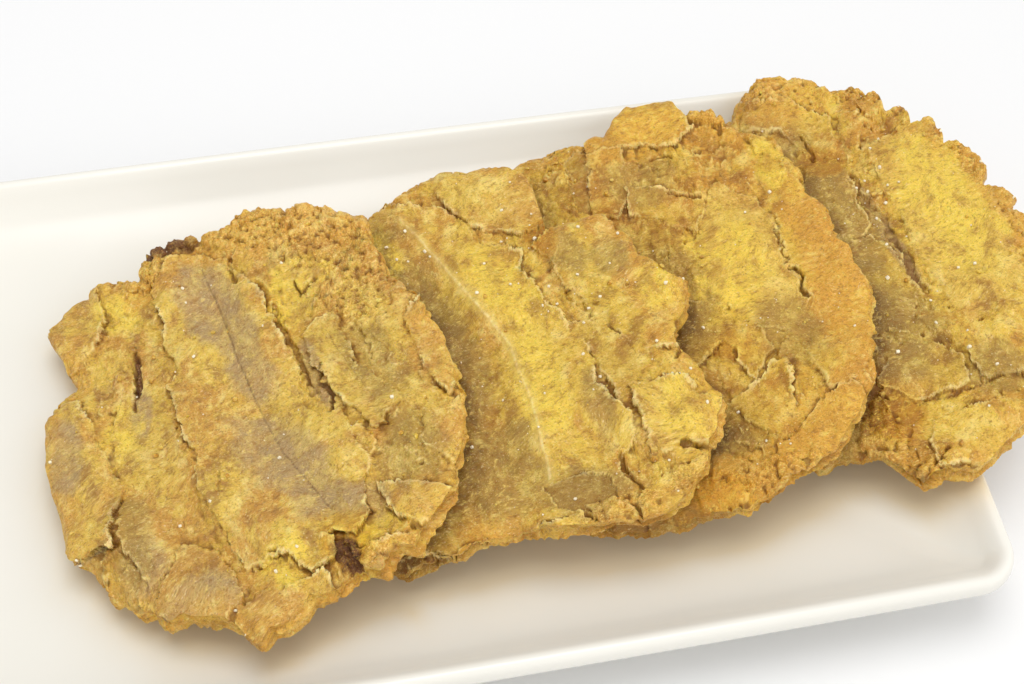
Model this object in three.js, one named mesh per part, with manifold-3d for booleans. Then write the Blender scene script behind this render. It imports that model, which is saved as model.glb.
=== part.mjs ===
// Four tostones (twice-fried, flattened green plantain) shingled along a long
// rectangular porcelain platter. Millimetres, +X along the platter, +Y away from
// the diner, +Z up. Each tostone is one solid: a ragged pressed disc with its
// flaky layers, cracks and knobbly crust fused on. All of them are leaned in a
// row like fallen dominoes, and the last one rests on the platter's end rim.
import * as THREE from 'three';
import { mergeVertices } from 'three/addons/utils/BufferGeometryUtils.js';
import Module from 'manifold-3d';

const wasm = await Module();
wasm.setup();

// ---------------------------------------------------------------- dimensions
const PLATTER = {
  length: 304,
  width: 134,
  height: 18,
  cornerRadius: 8,
  sideBow: 1.1, // each side swells this far outward at its middle
  floorTop: 7, // height of the eating surface in the middle
};

// Cross-section of the platter from the underside's middle round the foot, the
// outer lip and the rim to the middle of the eating surface:
// [distance in from the rim's outer edge, height].
const PLATTER_SECTION = [
  [40, 2.2],
  [29, 1.8],
  [28, 0],
  [21, 0],
  [19.5, 1.6],
  [9, 6.6],
  [1.6, 12.4],
  [0, 14.4],
  [0, 16.6],
  [0.9, PLATTER.height],
  [2.2, PLATTER.height],
  [3.6, 16.9],
  [6, 14.2],
  [10, 11.2],
  [16, 9],
  [24, 7.7],
  [36, PLATTER.floorTop + 0.1],
];
const CORNER_STEPS = 5;
const SIDE_STEPS = 4;

const DISC_THICKNESS = 7; // pressed plantain before its flakes are counted
const FLAKE_SPREAD = 1.008; // a flake overhangs the disc's edge by this factor
const RESTING_GAP = 0.35; // air between one tostone and the next
const OUTLINE_STEP = 6; // longest straight stretch of a torn disc edge
const FLAKE_STEP = 7; // longest straight stretch of a flake's edge
const SHORTEST_EDGE = 0.05; // shorter edges left by joining are closed up

// Rings of a disc from the middle of its top, over its edge, to the middle of
// its underside: [share of the outline's size, drop from the top, face].
const DISC_RINGS = [
  [0.3, 0, 'top'],
  [0.56, 0, 'top'],
  [0.78, 0, 'top'],
  [0.92, 0.15, 'top'],
  [0.98, 1.1, 'top'],
  [1, 2.6, 'top'],
  [0.99, 1.9, 'bottom'],
  [0.94, 0.4, 'bottom'],
  [0.8, 0, 'bottom'],
  [0.4, 0, 'bottom'],
];

// Every tostone lies in its own frame: x to its lifted side, y away, z up
// through it. `centre` and the two tilts (degrees) place it on the platter, and
// `outline` runs clockwise seen from above.
// A flake is [rise, outline corners]; a crack is [start, end, width, depth];
// a crust is [number of knobs, knob radius, corners of the patch they cover].
const TOSTONES = [
  {
    name: 'tostone_1',
    seed: 11,
    centre: [16, -5, 19.3],
    tiltRight: 11.3,
    tiltAway: 0.4,
    extraTop: 0.6,
    valley: { line: [[-8, 36], [-3, 20], [3, -5], [14, -29]], depth: 1.1, width: 6 },
    outline: [
      [-42, 29], [-30, 39], [-21, 37], [-20, 44], [-7, 46], [6, 49], [24, 41], [29, 38],
      [31, 22], [37, 15], [41, -3], [41, -19], [37, -30], [30, -39], [18, -42], [5, -47],
      [-2, -52], [-7, -46], [-17, -43], [-27, -37], [-37, -24], [-40, -10], [-41, 9],
      [-35, 14], [-38, 20],
    ],
    flakes: [
      [1.3, [
        [-18, 34], [-7, 38], [2, 29], [9, 11], [11, -5], [18, -10], [22, -20], [21, -31],
        [12, -40], [-2, -38], [-11, -18], [-13, -2], [-15, 20],
      ]],
      [1.2, [[-43, 7], [-31, 9], [-27, -10], [-27, -27], [-36, -28], [-43, -10]]],
      [0.9, [[-45, 26], [-30, 41], [-26, 37], [-28, 26], [-34, 18]]],
      [0.9, [[13, 10], [19, 11], [23, 1], [30, -10], [23, -14], [17, -6]]],
      [0.9, [[33, -10], [43, -9], [44, -22], [37, -26]]],
      [1.2, [[35, 14], [41, 12], [44, -6], [39, -7], [38, 3]]],
      [1.2, [[-16, -29], [-20, -42], [-8, -52], [-3, -41]]],
      [0.9, [[-1.5, -40], [12, -41], [12, -50], [-1, -54]]],
      [0.9, [[23, -26], [38, -27], [39, -33], [31, -38], [25, -33]]],
      [1, [[-7, 44], [6, 51], [25, 43], [30, 37], [29, 23], [13, 25], [1, 31]]],
    ],
    cracks: [[[-21, 20], [-22, 2], 1.8, 3]],
    crusts: [
      [16, 2.1, [[-5, 42], [6, 47], [24, 39], [27, 26], [13, 28], [2, 34]]],
      [5, 1.9, [[17, -38], [29, -36], [28, -40], [18, -43]]],
      [4, 1.8, [[-20, 40], [-8, 43], [-8, 45], [-19, 43]]],
    ],
  },
  {
    name: 'tostone_2',
    seed: 23,
    centre: [60, -3, 20.3],
    tiltRight: 11.6,
    tiltAway: 0.8,
    extraTop: 0,
    valley: { line: [[-12, 36], [-2, 14], [4, -6], [4, -30]], depth: 0.9, width: 6 },
    outline: [
      [-42, 12], [-36, 30], [-22, 42], [-2, 50], [12, 47], [25, 37], [20, 26], [33, 27],
      [38, 14], [45, 4], [40, -8], [45, -22], [39, -36], [30, -43], [14, -43], [4, -41],
      [-9, -42], [-20, -43], [-32, -34], [-40, -14],
    ],
    flakes: [
      [0.8, [
        [-14, 42], [-2, 47], [4, 31], [14, 23], [17, 8], [23, -9], [26, -18], [25, -33],
        [8, -37], [-12, -38],
      ]],
      [1.5, [[-2, 52], [9, 50], [26, 38], [22, 31], [14, 31], [2, 38]]],
      [1.6, [
        [17, 22], [20, 28], [30, 30], [40, 13], [48, 3], [43, -6], [36, -9], [25, 0],
      ]],
      [1.3, [[28, -15], [39, -16], [41, -22], [48, -22], [46, -32], [29, -32]]],
      [1, [[26, -35], [41, -34], [39, -40], [31, -45], [25, -42]]],
      [1.1, [[-10, -37], [-1, -38], [0, -45], [-9, -46]]],
      [1.1, [[3, -38], [14, -39], [15, -46], [4, -46]]],
    ],
    cracks: [],
    crusts: [[4, 1.6, [[16, -37], [25, -36], [24, -42], [15, -41]]]],
    ridge: { line: [[-9, 38], [1, 16], [8, -1], [10, -17], [10, -32]], width: 1.6, rise: 1.5 },
  },
  {
    name: 'tostone_3',
    seed: 37,
    centre: [97, 2, 20],
    tiltRight: 11.8,
    tiltAway: 1,
    extraTop: 0,
    valley: { line: [[12, 50], [15, 20], [14, -10]], depth: 0.5, width: 5 },
    outline: [
      [-42, 10], [-36, 30], [-25, 48], [-6, 51], [1, 49], [5, 56], [17, 54], [26, 45],
      [36, 36], [41, 9], [44, -8], [38, -28], [27, -40], [16, -44], [7, -48], [-5, -47],
      [-18, -47], [-32, -36], [-40, -14],
    ],
    flakes: [
      [1.3, [[-5, 43], [4, 58], [18, 56], [19, 42], [4, 43]]],
      [0.9, [[-6, 44], [4, 43], [3, 27], [-6, 29]]],
      [0.8, [[4, 33], [18, 27], [15, 16], [2, 25]]],
      [1.4, [[10, -24], [18, -23], [25, -17], [23, -28], [18, -37], [12, -30]]],
      [0.9, [[28, 46], [37, 38], [43, 16], [46, -6], [38, -8], [34, 20]]],
      [1.2, [[26, -20], [42, -15], [42, -28], [28, -41], [23, -31]]],
      [0.6, [[6, 22], [18, 22], [27, 8], [27, -8], [14, -14], [5, -4]]],
      [1, [[-8, -34], [5, -36], [8, -46], [-4, -50], [-12, -48]]],
    ],
    cracks: [[[29, 3], [31, -8], 1.2, 2]],
    crusts: [
      [5, 1.7, [[20, 46], [31, 40], [30, 44], [23, 48]]],
      [6, 1.7, [[8, -40], [26, -37], [24, -41], [9, -44]]],
    ],
  },
  {
    name: 'tostone_4',
    seed: 41,
    centre: [137, 8, 20.5],
    tiltRight: 12,
    tiltAway: 1,
    extraTop: 0,
    valley: { line: [[2, 40], [11, 14], [14, -12]], depth: 1, width: 5 },
    outline: [
      [-42, 8], [-38, 28], [-24, 42], [-12, 46], [-1, 55], [8, 53], [17, 46], [26, 39],
      [31, 29], [37, 18], [41, 4], [42, -14], [36, -32], [25, -46], [12, -54], [1, -54],
      [-6, -46], [-16, -47], [-32, -38], [-40, -16],
    ],
    flakes: [
      [1, [[1, 26], [9, 27], [9, 12], [7, 4], [0, 6]]],
      [0.9, [
        [14, 22], [26, 34], [36, 18], [39, 0], [34, -18], [24, -34], [12, -36], [16, -14],
      ]],
      [1.1, [[11, 39], [18, 38], [17, 27], [10, 31]]],
      [0.8, [[-4, 1], [7, 1], [12, -26], [3, -35], [-7, -30]]],
      [1.1, [[3, -39], [16, -38], [27, -37], [24, -48], [12, -55], [2, -52]]],
      [0.8, [[-10, 43], [-2, 54], [7, 53], [8, 43], [-3, 36]]],
    ],
    cracks: [[[10, 20], [14, -13], 2, 2.2]],
    crusts: [
      [12, 1.9, [[13, 47], [26, 38], [36, 16], [39, 2], [37, 1], [28, 29]]],
      [7, 2, [[-4, -44], [4, -50], [14, -51], [2, -52]]],
    ],
  },
];

// ------------------------------------------------------------------- helpers
function seededRandom(seed) {
  let state = seed;
  return () => {
    state = (state * 1664525 + 1013904223) % 4294967296;
    return state / 4294967296;
  };
}

function toSolid(geometry) {
  const bare = geometry.clone();
  bare.deleteAttribute('normal');
  bare.deleteAttribute('uv');
  const merged = mergeVertices(bare, 1e-4);
  return new wasm.Manifold(new wasm.Mesh({
    numProp: 3,
    vertProperties: new Float32Array(merged.attributes.position.array),
    triVerts: new Uint32Array(merged.index.array),
    tolerance: SHORTEST_EDGE,
  }));
}

function toGeometry(solid) {
  const mesh = solid.getMesh();
  const geometry = new THREE.BufferGeometry();
  geometry.setAttribute('position', new THREE.BufferAttribute(mesh.vertProperties, 3));
  geometry.setIndex(new THREE.BufferAttribute(mesh.triVerts, 1));
  geometry.computeVertexNormals();
  return geometry;
}

// A closed skin over rings of equally many points, with a point at each end.
// The rings run anticlockwise seen from the first end's side.
function skinOverRings(firstPoint, rings, lastPoint) {
  const count = rings[0].length;
  const positions = [firstPoint, ...rings.flat(), lastPoint].flat();
  const last = rings.length * count + 1;
  const index = [];
  for (let i = 0; i < count; i += 1) {
    const next = (i + 1) % count;
    index.push(0, 1 + i, 1 + next);
    for (let ring = 0; ring < rings.length - 1; ring += 1) {
      const here = 1 + ring * count;
      const below = here + count;
      index.push(here + i, below + i, below + next);
      index.push(here + i, below + next, here + next);
    }
    index.push(last, last - count + next, last - count + i);
  }
  const geometry = new THREE.BufferGeometry();
  geometry.setAttribute('position', new THREE.Float32BufferAttribute(positions, 3));
  geometry.setIndex(index);
  return geometry;
}

// Distance from a point to a line of several straight stretches.
function distanceToLine(x, y, line) {
  const point = new THREE.Vector3(x, y, 0);
  const nearest = new THREE.Vector3();
  let best = Infinity;
  for (let i = 0; i + 1 < line.length; i += 1) {
    const stretch = new THREE.Line3(
      new THREE.Vector3(...line[i], 0),
      new THREE.Vector3(...line[i + 1], 0),
    );
    stretch.closestPointToPoint(point, true, nearest);
    best = Math.min(best, nearest.distanceTo(point));
  }
  return best;
}

// Splits a torn edge into short stretches and shifts each new point a little.
function tornEdge(corners, step, wander, random) {
  const points = [];
  corners.forEach((corner, i) => {
    const next = corners[(i + 1) % corners.length];
    const dx = next[0] - corner[0];
    const dy = next[1] - corner[1];
    const length = Math.hypot(dx, dy);
    const parts = Math.max(1, Math.round(length / step));
    for (let part = 0; part < parts; part += 1) {
      const along = part / parts;
      const shift = part === 0 ? 0 : (random() - 0.5) * 2 * wander;
      points.push([
        corner[0] + dx * along + (dy / length) * shift,
        corner[1] + dy * along - (dx / length) * shift,
      ]);
    }
  });
  return points;
}

function prism(points, bottom, top) {
  const shape = new THREE.Shape(points.map(([x, y]) => new THREE.Vector2(x, y)));
  const geometry = new THREE.ExtrudeGeometry(shape, { depth: top - bottom, bevelEnabled: false });
  geometry.translate(0, 0, bottom);
  return geometry;
}

// ------------------------------------------------------------------- platter
// One level line round the platter: a rounded rectangle with gently bowed sides.
function platterRing(inset, height) {
  const halfLength = PLATTER.length / 2 - PLATTER.sideBow - inset;
  const halfWidth = PLATTER.width / 2 - PLATTER.sideBow - inset;
  const radius = Math.max(PLATTER.cornerRadius - inset, 3);
  const points = [];
  const add = (x, y) => {
    const bowX = 1 + (PLATTER.sideBow / halfLength) * (1 - (y / halfWidth) ** 2);
    const bowY = 1 + (PLATTER.sideBow / halfWidth) * (1 - (x / halfLength) ** 2);
    points.push([x * bowX, y * bowY, height]);
  };
  for (let corner = 0; corner < 4; corner += 1) {
    const signX = corner === 0 || corner === 3 ? 1 : -1;
    const signY = corner < 2 ? 1 : -1;
    const middleX = signX * (halfLength - radius);
    const middleY = signY * (halfWidth - radius);
    for (let step = 0; step <= CORNER_STEPS; step += 1) {
      const angle = (corner + step / CORNER_STEPS) * (Math.PI / 2);
      add(middleX + radius * Math.cos(angle), middleY + radius * Math.sin(angle));
    }
    const alongX = corner === 0 || corner === 2;
    for (let step = 1; step < SIDE_STEPS; step += 1) {
      const share = 1 - (2 * step) / SIDE_STEPS;
      if (alongX) {
        add(signX * (halfLength - radius) * share, signY * halfWidth);
      } else {
        add(signX * halfLength, signY * (halfWidth - radius) * share);
      }
    }
  }
  return points;
}

function platterGeometry() {
  const rings = PLATTER_SECTION.map(([inset, height]) => platterRing(inset, height));
  rings.forEach((ring) => ring.reverse());
  return skinOverRings([0, 0, 2.2], rings, [0, 0, PLATTER.floorTop]);
}

// ------------------------------------------------------------------ tostones
// Height of a disc's top over its own middle plane: slightly wavy, with a
// shallow valley along the old seed line of the plantain.
function topHeight(spec, x, y) {
  const wave = 0.35 * Math.sin(x / 7 + spec.seed) * Math.cos(y / 9 - spec.seed);
  const away = distanceToLine(x, y, spec.valley.line) / spec.valley.width;
  return DISC_THICKNESS / 2 - 0.3 + spec.extraTop + wave - spec.valley.depth * Math.exp(-away * away);
}

function discGeometry(spec, random) {
  const outline = tornEdge(spec.outline, OUTLINE_STEP, 0.8, random).reverse();
  const underside = -DISC_THICKNESS / 2;
  const rings = DISC_RINGS.map(([size, drop, face]) => outline.map(([x, y]) => {
    const px = x * size;
    const py = y * size;
    const height = face === 'top' ? topHeight(spec, px, py) - drop : underside + drop;
    return [px, py, height];
  }));
  return skinOverRings([0, 0, topHeight(spec, 0, 0)], rings, [0, 0, underside]);
}

// A flake is the disc's own top, lifted by its rise and cut to its outline.
function flakeSolid(disc, rise, corners, random) {
  const lifted = disc.clone();
  lifted.scale(FLAKE_SPREAD, FLAKE_SPREAD, 1);
  lifted.translate(0, 0, rise);
  const edge = tornEdge(corners, FLAKE_STEP, 0.7, random);
  return toSolid(lifted).intersect(toSolid(prism(edge, 0, DISC_THICKNESS * 2)));
}

// A wedge-shaped split in the top.
function crackSolid(spec, [start, end, width, depth]) {
  const [x0, y0] = start;
  const [x1, y1] = end;
  const length = Math.hypot(x1 - x0, y1 - y0);
  const sideX = (-(y1 - y0) / length) * (width / 2);
  const sideY = ((x1 - x0) / length) * (width / 2);
  const middleX = (x0 + x1) / 2;
  const middleY = (y0 + y1) / 2;
  const high = topHeight(spec, middleX, middleY) + 4;
  const low = topHeight(spec, middleX, middleY) - depth;
  const ring = [
    [x0, y0, high],
    [middleX - sideX, middleY - sideY, high],
    [x1, y1, high],
    [middleX + sideX, middleY + sideY, high],
  ];
  return toSolid(skinOverRings([middleX, middleY, high], [ring], [middleX, middleY, low]));
}

// Knobs of rough crust, scattered over a patch and half sunk into the disc.
function crustSolids(spec, [count, radius, patch], random) {
  const weightPoint = () => {
    const weights = patch.map(() => random() ** 2);
    const sum = weights.reduce((a, b) => a + b, 0);
    const x = patch.reduce((total, corner, i) => total + corner[0] * weights[i], 0) / sum;
    const y = patch.reduce((total, corner, i) => total + corner[1] * weights[i], 0) / sum;
    return [x, y];
  };
  return Array.from({ length: count }, () => {
    const [x, y] = weightPoint();
    const knob = new THREE.IcosahedronGeometry(radius * (0.75 + 0.5 * random()), 0);
    knob.rotateX(random() * Math.PI);
    knob.rotateZ(random() * Math.PI);
    knob.scale(1.15, 1.15, 0.8);
    knob.translate(x, y, topHeight(spec, x, y) + 0.2);
    return toSolid(knob);
  });
}

// The pale raised seam down the middle of one tostone.
function ridgeSolid(disc, ridge) {
  const leftSide = [];
  const rightSide = [];
  ridge.line.forEach(([x, y], i) => {
    const isEnd = i === 0 || i === ridge.line.length - 1;
    const half = isEnd ? 0.3 : ridge.width / 2;
    leftSide.push([x - half, y]);
    rightSide.unshift([x + half, y]);
  });
  const lifted = disc.clone();
  lifted.translate(0, 0, ridge.rise);
  return toSolid(lifted).intersect(toSolid(prism([...leftSide, ...rightSide], 0, DISC_THICKNESS * 2)));
}

function tostoneSolid(spec) {
  const random = seededRandom(spec.seed);
  const disc = discGeometry(spec, random);
  let solid = toSolid(disc);
  spec.flakes.forEach(([rise, corners]) => {
    solid = solid.add(flakeSolid(disc, rise, corners, random));
  });
  if (spec.ridge) {
    solid = solid.add(ridgeSolid(disc, spec.ridge));
  }
  spec.crusts.forEach((crust) => {
    crustSolids(spec, crust, random).forEach((knob) => {
      solid = solid.add(knob);
    });
  });
  spec.cracks.forEach((crack) => {
    solid = solid.subtract(crackSolid(spec, crack));
  });
  return solid;
}

// Where a tostone stands on the platter.
function placement(spec) {
  const turn = new THREE.Euler(
    THREE.MathUtils.degToRad(spec.tiltAway),
    THREE.MathUtils.degToRad(-spec.tiltRight),
    0,
    'XYZ',
  );
  return new THREE.Matrix4().makeRotationFromEuler(turn).setPosition(...spec.centre);
}

// Presses a tostone flat where the one before it lies on top of it.
function pressUnder(solid, spec, upperSolid, upperSpec) {
  const upper = toGeometry(upperSolid);
  upper.applyMatrix4(placement(upperSpec));
  upper.translate(0, 0, -RESTING_GAP);
  upper.applyMatrix4(placement(spec).invert());
  return solid.subtract(toSolid(upper));
}

// ------------------------------------------------------------------ assembly
const porcelain = new THREE.MeshStandardMaterial({
  name: 'white porcelain',
  color: 0xf0ece2,
  roughness: 0.18,
  metalness: 0,
});

function friedPlantain() {
  return new THREE.MeshStandardMaterial({
    name: 'fried plantain',
    color: 0xc9962f,
    roughness: 0.5,
    metalness: 0,
  });
}

const model = new THREE.Group();

const platter = new THREE.Mesh(platterGeometry(), porcelain);
platter.name = 'plate';
model.add(platter);

let upperSolid = null;
let upperSpec = null;
TOSTONES.forEach((spec) => {
  let solid = tostoneSolid(spec);
  if (upperSolid) {
    solid = pressUnder(solid, spec, upperSolid, upperSpec);
  }
  const mesh = new THREE.Mesh(toGeometry(solid), friedPlantain());
  mesh.name = spec.name;
  mesh.applyMatrix4(placement(spec));
  model.add(mesh);
  upperSolid = solid;
  upperSpec = spec;
});

// The origin is the middle of the whole part's footprint, on the table.
const box = new THREE.Box3().setFromObject(model, true);
model.position.set(-(box.min.x + box.max.x) / 2, -(box.min.y + box.max.y) / 2, -box.min.z);

export default model;
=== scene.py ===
# %% [markdown]
# # Tostones on a white platter
# Four green plantain discs, fried, pressed flat and fried again, lie shingled on a long porcelain platter.
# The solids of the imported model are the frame: they say where each disc lies and what its large flakes are.
# This lesson lays a fine, torn, fibrous surface over each of them and glazes the platter.

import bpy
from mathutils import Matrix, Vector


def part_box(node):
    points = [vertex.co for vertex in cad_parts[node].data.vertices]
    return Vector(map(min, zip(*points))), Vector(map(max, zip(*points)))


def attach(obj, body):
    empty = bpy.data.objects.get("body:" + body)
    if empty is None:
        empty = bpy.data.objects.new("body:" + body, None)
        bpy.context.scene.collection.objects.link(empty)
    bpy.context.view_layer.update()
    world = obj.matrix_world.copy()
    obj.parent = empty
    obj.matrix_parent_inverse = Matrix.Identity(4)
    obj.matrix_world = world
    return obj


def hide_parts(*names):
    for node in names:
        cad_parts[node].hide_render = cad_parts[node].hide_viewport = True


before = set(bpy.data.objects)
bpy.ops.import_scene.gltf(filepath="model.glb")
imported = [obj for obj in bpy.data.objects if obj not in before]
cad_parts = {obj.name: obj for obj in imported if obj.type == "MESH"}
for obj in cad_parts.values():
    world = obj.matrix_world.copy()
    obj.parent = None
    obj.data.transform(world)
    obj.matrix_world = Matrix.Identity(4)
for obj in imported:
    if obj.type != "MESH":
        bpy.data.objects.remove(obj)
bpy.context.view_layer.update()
print("solids:", sorted(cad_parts))

# %% What the lesson needs from Blender and numpy
import math
from types import SimpleNamespace

import bmesh
import bpy
import numpy as np
from mathutils import Matrix, Vector
from mathutils.bvhtree import BVHTree

MM = 0.001  # the scene is in metres, and food is easier to think of in millimetres

# %% [markdown]
# ## Camera
# The dish is seen from its near long side, a little from the left and from well above, as a cook sees the
# counter. The camera gets its place and its two angles; turning a direction into a rotation is what
# to_track_quat does.

# %% Camera above the near long side
CAMERA_PLACE = Vector((23.79, -175.93, 259.29)) * MM
CAMERA_TURN, CAMERA_DIP = math.radians(10.06), math.radians(53.0)
CAMERA_LENS, CAMERA_SENSOR = 52.73, 36  # mm; the sensor's width is that of small film

scene = bpy.context.scene
camera = bpy.data.objects.new("camera", bpy.data.cameras.new("camera"))
camera.data.lens = CAMERA_LENS
camera.data.sensor_width = CAMERA_SENSOR
camera.data.clip_start = 10 * MM
look = Vector((
    math.sin(CAMERA_TURN) * math.cos(CAMERA_DIP),
    math.cos(CAMERA_TURN) * math.cos(CAMERA_DIP),
    -math.sin(CAMERA_DIP),
))
camera.location = CAMERA_PLACE
camera.rotation_mode = "QUATERNION"
camera.rotation_quaternion = look.to_track_quat("-Z", "Y")
scene.collection.objects.link(camera)
scene.camera = camera
print("camera looks along", tuple(round(c, 3) for c in look))

# %% [markdown]
# ## Helpers for materials
# A colour given in hex is an sRGB value, and shaders want it linear, so one function turns hex into linear.
# Another adds a node with its settings and its links, which keeps each material short enough to read like a
# recipe.

# %% Colours and nodes
def colour(hex_code):
    """An sRGB hex colour as linear red, green, blue and alpha."""
    parts = [int(hex_code[i : i + 2], 16) / 255 for i in (1, 3, 5)]
    return [c / 12.92 if c <= 0.04045 else ((c + 0.055) / 1.055) ** 2.4 for c in parts] + [1]


def add(tree, kind, settings=None, inputs=None, links=None):
    """A new node: its settings by attribute, its inputs by value, and its links as {input: output
    socket}."""
    node = tree.nodes.new(kind)
    for name, value in (settings or {}).items():
        setattr(node, name, value)
    for name, value in (inputs or {}).items():
        node.inputs[name].default_value = value
    for name, socket in (links or {}).items():
        tree.links.new(socket, node.inputs[name])
    return node


def new_material(name):
    """An empty node material with its output, and the tree to build in."""
    made = bpy.data.materials.new(name)
    made.use_nodes = True
    made.node_tree.nodes.clear()
    return made, made.node_tree, add(made.node_tree, "ShaderNodeOutputMaterial")


def finish_piece(mesh_or_bmesh, name, material, sharp_deg=180):
    """Links a finished mesh as a smooth-shaded piece at the origin."""
    mesh = mesh_or_bmesh
    if isinstance(mesh, bmesh.types.BMesh):
        mesh = bpy.data.meshes.new(name)
        mesh_or_bmesh.to_mesh(mesh)
        mesh_or_bmesh.free()
    mesh.materials.append(material)
    mesh.shade_smooth()
    if sharp_deg < 180:
        mesh.set_sharp_from_angle(angle=math.radians(sharp_deg))
    piece = bpy.data.objects.new(name, mesh)
    scene.collection.objects.link(piece)
    return piece


print("colour('#ffffff') is", colour("#ffffff")[:3])

# %% [markdown]
# ## The platter's glaze
# Porcelain is fired clay under a clear glass glaze: the body gives a warm white, and the glaze a hard, even
# gloss. A dielectric with the index of glass and a low roughness gives that. Real glaze is never quite flat:
# it ripples over a few centimetres, so the reflections waver, and a little unevenness in the roughness keeps
# it from looking plastic.

# %% Glazed porcelain
RIPPLES_PER_METRE = 45  # so one ripple is about 22 mm across

porcelain, tree, output = new_material("glazed porcelain")
place = add(tree, "ShaderNodeTexCoord")
ripple = add(tree, "ShaderNodeTexNoise", inputs={"Scale": RIPPLES_PER_METRE, "Detail": 1},
             links={"Vector": place.outputs["Object"]})
tint = add(tree, "ShaderNodeMix", {"data_type": "RGBA"},
           {"A": colour("#e4e1d7"), "B": colour("#e8e5dc")}, {"Factor": ripple.outputs["Fac"]})
wave = add(tree, "ShaderNodeBump", inputs={"Strength": 0.04, "Distance": 0.004},
           links={"Height": ripple.outputs["Fac"]})
gloss = add(tree, "ShaderNodeMapRange", inputs={"To Min": 0.2, "To Max": 0.28},
            links={"Value": ripple.outputs["Fac"]})
glaze = add(tree, "ShaderNodeBsdfPrincipled", inputs={"IOR": 1.5}, links={
    "Base Color": tint.outputs["Result"],
    "Roughness": gloss.outputs["Result"],
    "Normal": wave.outputs["Normal"],
})
tree.links.new(glaze.outputs["BSDF"], output.inputs["Surface"])
print("made", porcelain.name)

# %% [markdown]
# ## The platter
# The platter is one slip-cast piece: a flat floor, walls that sweep up to a rounded rim, and a narrow foot
# ring below. Its section is the same all the way round, so the simple way is to start from a circle of
# points, press it into a rounded rectangle, and extrude that loop ring by ring along the section. The
# section's corners are cut off again and again (Chaikin's way to smooth a line), which gives the soft edges
# that a glaze leaves.

# %% Section and plan of the platter
plate_low, plate_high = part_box("plate")
PLATE_LENGTH, PLATE_WIDTH = ((plate_high - plate_low) / MM)[:2]
PLATE_MIDDLE = (plate_high + plate_low) / 2 / MM
CORNER_RADIUS, LEAST_RADIUS, SIDE_BOW = 8.0, 3.0, 1.1
CORNER_STEPS, SIDE_STEPS = 16, 76
PLATE_SECTION = [  # distance inside the rim's outer edge, and height
    (40, 2.2), (29, 1.8), (28, 0), (21, 0), (19.5, 1.6),  # the underside and its foot ring
    (9, 6.6), (1.6, 12.4), (0, 14.4), (0, 16.6),  # up the outside of the wall
    (0.9, 18), (2.2, 18), (3.6, 16.9),  # over the rim
    (6, 14.2), (10, 11.2), (16, 9), (24, 7.7), (36, 7.1), (48, 7.0), (62, 7.0),  # down and along the floor
]
SECTION_ROUNDS = 3


def cut_corners(line, times):
    """The line with each corner cut off, as often as asked; its two ends stay."""
    line = np.array(line, float)
    for _ in range(times):
        first, second = line[:-1], line[1:]
        cut = np.stack([first * 0.75 + second * 0.25, first * 0.25 + second * 0.75], 1).reshape(-1, 2)
        line = np.vstack([line[:1], cut[1:-1], line[-1:]])
    return line


def platter_loop(inset):
    """One ring of the plan, this many mm inside the rim's edge: a rounded rectangle with bowed sides."""
    half = np.array([PLATE_LENGTH, PLATE_WIDTH]) / 2 - SIDE_BOW - inset
    radius = max(CORNER_RADIUS - inset, LEAST_RADIUS)
    corners = []
    for quarter, side in enumerate([(1, 1), (-1, 1), (-1, -1), (1, -1)]):
        turn = np.radians(90 * (quarter + np.arange(CORNER_STEPS + 1) / CORNER_STEPS))
        corners.append((half - radius) * side + radius * np.stack([np.cos(turn), np.sin(turn)], 1))
    loop = []
    for corner, following in zip(corners, corners[1:] + corners[:1]):
        loop.extend(corner)
        loop.extend(np.linspace(corner[-1], following[0], SIDE_STEPS + 1)[1:-1])
    loop = np.array(loop)
    return loop * (1 + SIDE_BOW / half * (1 - (loop[:, ::-1] / half[::-1]) ** 2))


section = cut_corners(PLATE_SECTION, SECTION_ROUNDS)
print("platter", round(PLATE_LENGTH), "by", round(PLATE_WIDTH), "mm, section of", len(section), "points")

# %% Extrude the loop along the section
def ring_from(bm, edges, order):
    """Extrudes a loop of edges and returns the new edges and {new vertex: its number in the loop}."""
    made = bmesh.ops.extrude_edge_only(bm, edges=edges)["geom"]
    fresh = [v for v in made if isinstance(v, bmesh.types.BMVert)]
    numbers = {}
    for vert in fresh:
        below = (edge.other_vert(vert) for edge in vert.link_edges)
        numbers[vert] = next(order[other] for other in below if other in order)
    return [e for e in made if isinstance(e, bmesh.types.BMEdge) and e.is_boundary], numbers


bm = bmesh.new()
bmesh.ops.create_circle(bm, segments=4 * (CORNER_STEPS + SIDE_STEPS), radius=1)
order = {vert: number for number, vert in enumerate(bm.verts)}
edges = bm.edges[:]
for step, (inset, height) in enumerate(section):
    if step:
        edges, order = ring_from(bm, edges, order)
    else:
        underside = edges
    ring = platter_loop(inset)
    for vert, number in order.items():
        x, y = ring[number] + np.array(PLATE_MIDDLE[:2])
        vert.co = Vector((x, y, height)) * MM
for hole in (underside, edges):
    filled = bmesh.ops.edgeloop_fill(bm, edges=hole)["faces"]
    bmesh.ops.triangulate(bm, faces=filled, ngon_method="BEAUTY")
bmesh.ops.recalc_face_normals(bm, faces=bm.faces)
platter = finish_piece(bm, "platter", porcelain)
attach(platter, "root")
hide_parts("plate")
print("platter faces:", len(platter.data.polygons))

# %% [markdown]
# ## Noise in numpy
# Torn and fried surfaces are uneven at every size, from a fold as wide as a thumb to grains like sand. The
# height of each disc is worked out for all its vertices at once in numpy, so the noise is written in numpy
# too. A hash gives every corner of a square lattice a fixed random number, smooth noise blends between the
# corners, and `cells` gives the distance to scattered points, which makes knobs where it is turned upside
# down. Everything is seeded, so the same crumbs come out on every run.

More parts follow.
